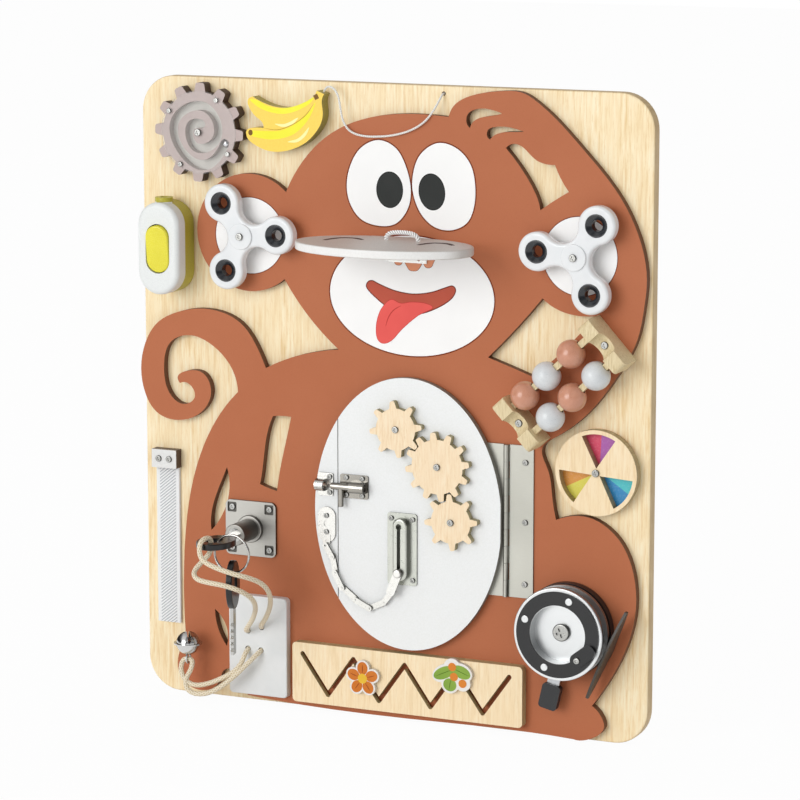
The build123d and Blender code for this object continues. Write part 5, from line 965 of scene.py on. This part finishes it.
def woven_webbing():
    """Painted shade: grey in the hollows between the white ribs; the plain edges a little darker, lighter on
    each raised pick.
    """
    mat = blank("woven_polypropylene")
    place = add(mat, "TexCoord", out="Object")
    yarn = add(mat, "TexNoise", {"Vector": place, "Scale": 1 / (YARN_MM * MM), "Detail": 3.0,
                                 "Roughness": 0.7})
    rib_shade = add(mat, "Attribute", out="Fac", attribute_name="rib_shade")
    tone = add(mat, "ValToRGB", {"Fac": rib_shade}, stops=((0.12, "AEB2B6"), (0.4, "E2E4E5"), (0.7, "F4F5F5")))
    worn = add(mat, "MapRange", {"Value": yarn, 1: 0.45, 2: 0.75, 3: 0.0, 4: 0.35})
    tone = add(mat, "Mix", {0: worn, 6: tone, 7: "DEE0E1"}, 2, data_type="RGBA")
    return finish(mat, tone, 0.8, yarn, YARN_RELIEF, Sheen_Weight=0.15)


strap_low, strap_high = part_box("strap")
x0, x1 = strap_low[0] / MM + STRAP_INSET, strap_high[0] / MM - STRAP_INSET
z0, z1 = strap_low[2] / MM + STRAP_INSET, strap_high[2] / MM - STRAP_INSET
strap_back, strap_front = -strap_high[1] / MM, -strap_low[1] / MM
verts = []
ribs = []
for z in np.linspace(z0, z1, ROWS):
    for x in np.linspace(x0, x1, COLUMNS):
        inside = min(x - x0, x1 - x)
        wave = 0.5 + 0.5 * math.sin(2 * math.pi * (z - RIB_SLANT * (x - x0)) / RIB_MM)
        pick = 0.5 + 0.5 * math.sin(2 * math.pi * z / EDGE_PICK_MM)
        # painted shade: these values follow the height of the ribs and of the edge picks
        ribs.append(wave if inside > EDGE_MM else EDGE_TONE + EDGE_SWING * pick)
        raised = RIB_HEIGHT * wave if inside > EDGE_MM else EDGE_HEIGHT * pick
        rounded = SIDE_ROUND * max(0.0, 1 - inside / SIDE_ROUND) ** 2
        verts.append((x, -(strap_front - STRAP_HOLLOW + raised - rounded), z))
front_count = len(verts)
verts += [(x, -strap_back, z) for x, y, z in verts]
faces = []
for i in range(ROWS - 1):
    for k in range(COLUMNS - 1):
        a = i * COLUMNS + k
        b = a + front_count
        faces.append((a, a + 1, a + COLUMNS + 1, a + COLUMNS))
        faces.append((b, b + COLUMNS, b + COLUMNS + 1, b + 1))
border = list(range(COLUMNS)) + [i * COLUMNS + COLUMNS - 1 for i in range(1, ROWS)]
border += [(ROWS - 1) * COLUMNS + k for k in range(COLUMNS - 2, -1, -1)]
border += [i * COLUMNS for i in range(ROWS - 2, 0, -1)]
for a, b in zip(border, border[1:] + border[:1]):
    faces.append((b, a, a + front_count, b + front_count))
webbing = mesh_piece("strap_webbing", verts, faces, woven_webbing(), "board", 60.0)
webbing.data.attributes.new("rib_shade", "FLOAT", "POINT").data.foreach_set("value", ribs + ribs)
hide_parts("strap")
CLAMP_TONES, CLAMP_WALLS = ("E9E9E7", "E2E2E0"), ("3E2A20", "5A4031")
dress(painted_board("white_clamp_spray", CLAMP_TONES, CLAMP_WALLS, 0.4), "strap_clamp")


# ---------------------------------------------------------------- fishing reel
# Black moulded housing and face ring with steel rivets, a turned aluminium spool, and a cast lever whose
# grip is moulded over it in black.
REEL_CENTRE = (139.7, -144.5)
GRIP_FROM = 40.4             # distance from the reel's centre at which the grip begins
FOOT_FROM = 33.5             # and at which the foot shows past the housing
GRIP_RELIEF = 0.008


def alloy_lever_and_grip():
    """Cast alloy lever up to the grip, black ABS beyond."""
    mat = blank("cast_alloy_and_abs_grip")
    place = add(mat, "TexCoord", out="Object")
    pebble = add(mat, "TexNoise", {"Vector": place, "Scale": 1 / (PEBBLE_MM * MM), "Detail": 3.0})
    grip = beyond(mat, REEL_CENTRE, GRIP_FROM)
    alloy = add(mat, "ValToRGB", {"Fac": pebble}, stops=((0.3, "B4B6B8"), (0.7, "C8CACC")))
    black = add(mat, "ValToRGB", {"Fac": pebble}, stops=((0.3, "1C1D1F"), (0.7, "232527")))
    tone = add(mat, "Mix", {0: grip, 6: alloy, 7: black}, 2, data_type="RGBA")
    bare = add(mat, "Math", {0: 1.0, 1: grip}, operation="SUBTRACT")
    rough = add(mat, "MapRange", {"Value": grip, 3: 0.28, 4: 0.42})
    return finish(mat, tone, rough, pebble, GRIP_RELIEF, Metallic=bare)


def housing_and_foot():
    """Black ABS housing; the foot that carries it is stained wood brown."""
    mat = blank("abs_housing_and_foot")
    place = add(mat, "TexCoord", out="Object")
    pebble = add(mat, "TexNoise", {"Vector": place, "Scale": 1 / (PEBBLE_MM * MM), "Detail": 3.0})
    black = add(mat, "ValToRGB", {"Fac": pebble}, stops=((0.3, "18181A"), (0.7, "202022")))
    brown = add(mat, "ValToRGB", {"Fac": pebble}, stops=((0.3, "38332D"), (0.7, "453F37")))
    tone = add(mat, "Mix", {0: beyond(mat, REEL_CENTRE, FOOT_FROM), 6: black, 7: brown}, 2, data_type="RGBA")
    rough = add(mat, "MapRange", {"Value": pebble, 1: 0.2, 2: 0.8, 3: 0.32, 4: 0.42})
    return finish(mat, tone, rough, pebble, PEBBLE_RELIEF)


dress(housing_and_foot(), "reel_frame")
dress(plated_steel("turned_aluminium", "DFE1E1", "D3D5D5", "9C9E9F", 0.32, (0.3, 0.3, 0.3)), "reel_spool")
dress(moulded_abs("abs_reel_face", "101113", "0A0B0C", 0.3, coat=0.2), "reel_face")
dress(alloy_lever_and_grip(), "reel_lever")
CRANK_PIN = (155.2, -160.6)
PIN_HEAD = ((2.3, -0.3), (2.3, 0.5), (2.0, 0.9), (1.1, 1.0), (0.9, 0.5), (0.2, 0.4))     # radius, height
pin_seat = -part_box("reel_face")[0][1] / MM
pin_profile = [(r, pin_seat + high) for r, high in PIN_HEAD]
crank_pin = turned("crank_pin", pin_profile, [CRANK_PIN], screw_steel, "reel", count=40)


# ---------------------------------------------------------------- floor, light and camera
# A plain white painted floor that keeps a faint shadow, and an even surround with one soft lamp from the
# upper left. Metal is shown bright and dark bands instead of the surround, so that it looks like metal.
# Positions here are metres.
FLOOR_HALF = 8.0
GLOW_SHARE = 0.96            # the rest of the floor takes the shadow
MOTTLE_MM = 40.0
floor_white = blank("painted_floor")
floor_place = add(floor_white, "TexCoord", out="Object")
mottle = add(floor_white, "TexNoise", {"Vector": floor_place, "Scale": 1 / (MOTTLE_MM * MM), "Detail": 3.0})
pale = add(floor_white, "ValToRGB", {"Fac": mottle}, stops=((0.3, "F4F4F4"), (0.7, "FAFAFA")))
matt = add(floor_white, "BsdfDiffuse", {"Color": pale})
glow = add(floor_white, "Emission", {"Color": "FFFFFF", "Strength": 1.0})
seen = add(floor_white, "LightPath", out="Is Camera Ray")
for ray in ("Is Glossy Ray", "Is Transmission Ray"):
    seen = add(floor_white, "Math", {0: seen, 1: add(floor_white, "LightPath", out=ray)}, operation="MAXIMUM")
seen = add(floor_white, "Math", {0: seen, 1: GLOW_SHARE}, operation="MULTIPLY")
shown = add(floor_white, "MixShader", {0: seen, 1: matt, 2: glow})
add(floor_white, "OutputMaterial", {"Surface": shown})
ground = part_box("board")[0][2]
mesh = bpy.data.meshes.new("floor")
corners = ((-1, -1), (1, -1), (1, 1), (-1, 1))
mesh.from_pydata([(x * FLOOR_HALF, y * FLOOR_HALF, ground) for x, y in corners], [], [(0, 1, 2, 3)])
mesh.materials.append(floor_white)
floor = bpy.data.objects.new("floor", mesh)
bpy.context.scene.collection.objects.link(floor)

SURROUND = ((0.0, "8C8C8C"), (0.42, "C4C4C4"), (0.6, "E2E2E2"), (1.0, "C4C4C4"))
SURROUND_STRENGTH = 0.92
UPRIGHT_BANDS = ((0.0, "3C3C3E"), (0.1, "6A6A6C"), (0.2, "FFFFFF"), (0.42, "FFFFFF"), (0.54, "6A6A6C"),
                 (0.68, "E6E6E8"), (0.86, "505052"), (1.0, "FFFFFF"))
LEVEL_BANDS = ((0.0, "5A5A5C"), (0.24, "8A8A8C"), (0.33, "FFFFFF"), (0.5, "FFFFFF"), (0.6, "66666A"),
               (0.75, "FFFFFF"), (1.0, "E0E0E0"))
world = bpy.data.worlds.new("studio")
world.use_nodes = True
world.node_tree.nodes.clear()
way = add(world, "TexCoord", out="Generated")
rise = add(world, "MapRange", {"Value": add(world, "SeparateXYZ", {0: way}, "Z"), 1: -1.0, 2: 1.0})
grey = add(world, "ValToRGB", {"Fac": rise}, stops=SURROUND)
soft = add(world, "Background", {"Color": grey, "Strength": SURROUND_STRENGTH})
across = add(world, "MapRange", {"Value": add(world, "SeparateXYZ", {0: way}, "X"), 1: -1.0, 2: 1.0})
upright = add(world, "ValToRGB", {"Fac": across}, stops=UPRIGHT_BANDS)
level = add(world, "ValToRGB", {"Fac": rise}, stops=LEVEL_BANDS)
mirrored = add(world, "Mix", {0: 1.0, 6: upright, 7: level}, 2, data_type="RGBA", blend_type="MULTIPLY")
shiny = add(world, "Background", {"Color": mirrored, "Strength": 1.0})
clean = add(world, "Background", {"Color": "FFFFFF", "Strength": 1.0})
sky = soft
for ray, share in (("Is Glossy Ray", shiny), ("Is Transmission Ray", clean), ("Is Camera Ray", clean)):
    sky = add(world, "MixShader", {0: add(world, "LightPath", out=ray), 1: sky, 2: share})
add(world, "OutputWorld", {"Surface": sky})
bpy.context.scene.world = world

CAMERA = (0.99586, -2.15881, 0.42025)
AIM = (0.00297, 0.0, 0.00215)
FOCAL_PX = 3430.9
FRAME_PX = 800
SENSOR = 36.0
LAMP_PLACE = (-1.8, -4.7, 1.2)
LAMP_SIZE = 3.4
LAMP_WATTS = 118.0


def aimed(name, data, place, aim):
    """Puts a lamp or camera at a place, with its axis through the aim."""
    obj = bpy.data.objects.new(name, data)
    bpy.context.scene.collection.objects.link(obj)
    obj.location = place
    obj.rotation_euler = (Vector(aim) - Vector(place)).to_track_quat("-Z", "Y").to_euler()
    return obj


lamp = bpy.data.lights.new("soft_lamp", "AREA")
lamp.shape = "DISK"
lamp.size = LAMP_SIZE
lamp.energy = LAMP_WATTS
aimed("soft_lamp", lamp, LAMP_PLACE, (0, 0, 0))
lens = bpy.data.cameras.new("camera")
lens.sensor_width = SENSOR
lens.lens = SENSOR * FOCAL_PX / FRAME_PX
bpy.context.scene.camera = aimed("camera", lens, CAMERA, AIM)
bpy.context.scene.view_settings.view_transform = "Standard"
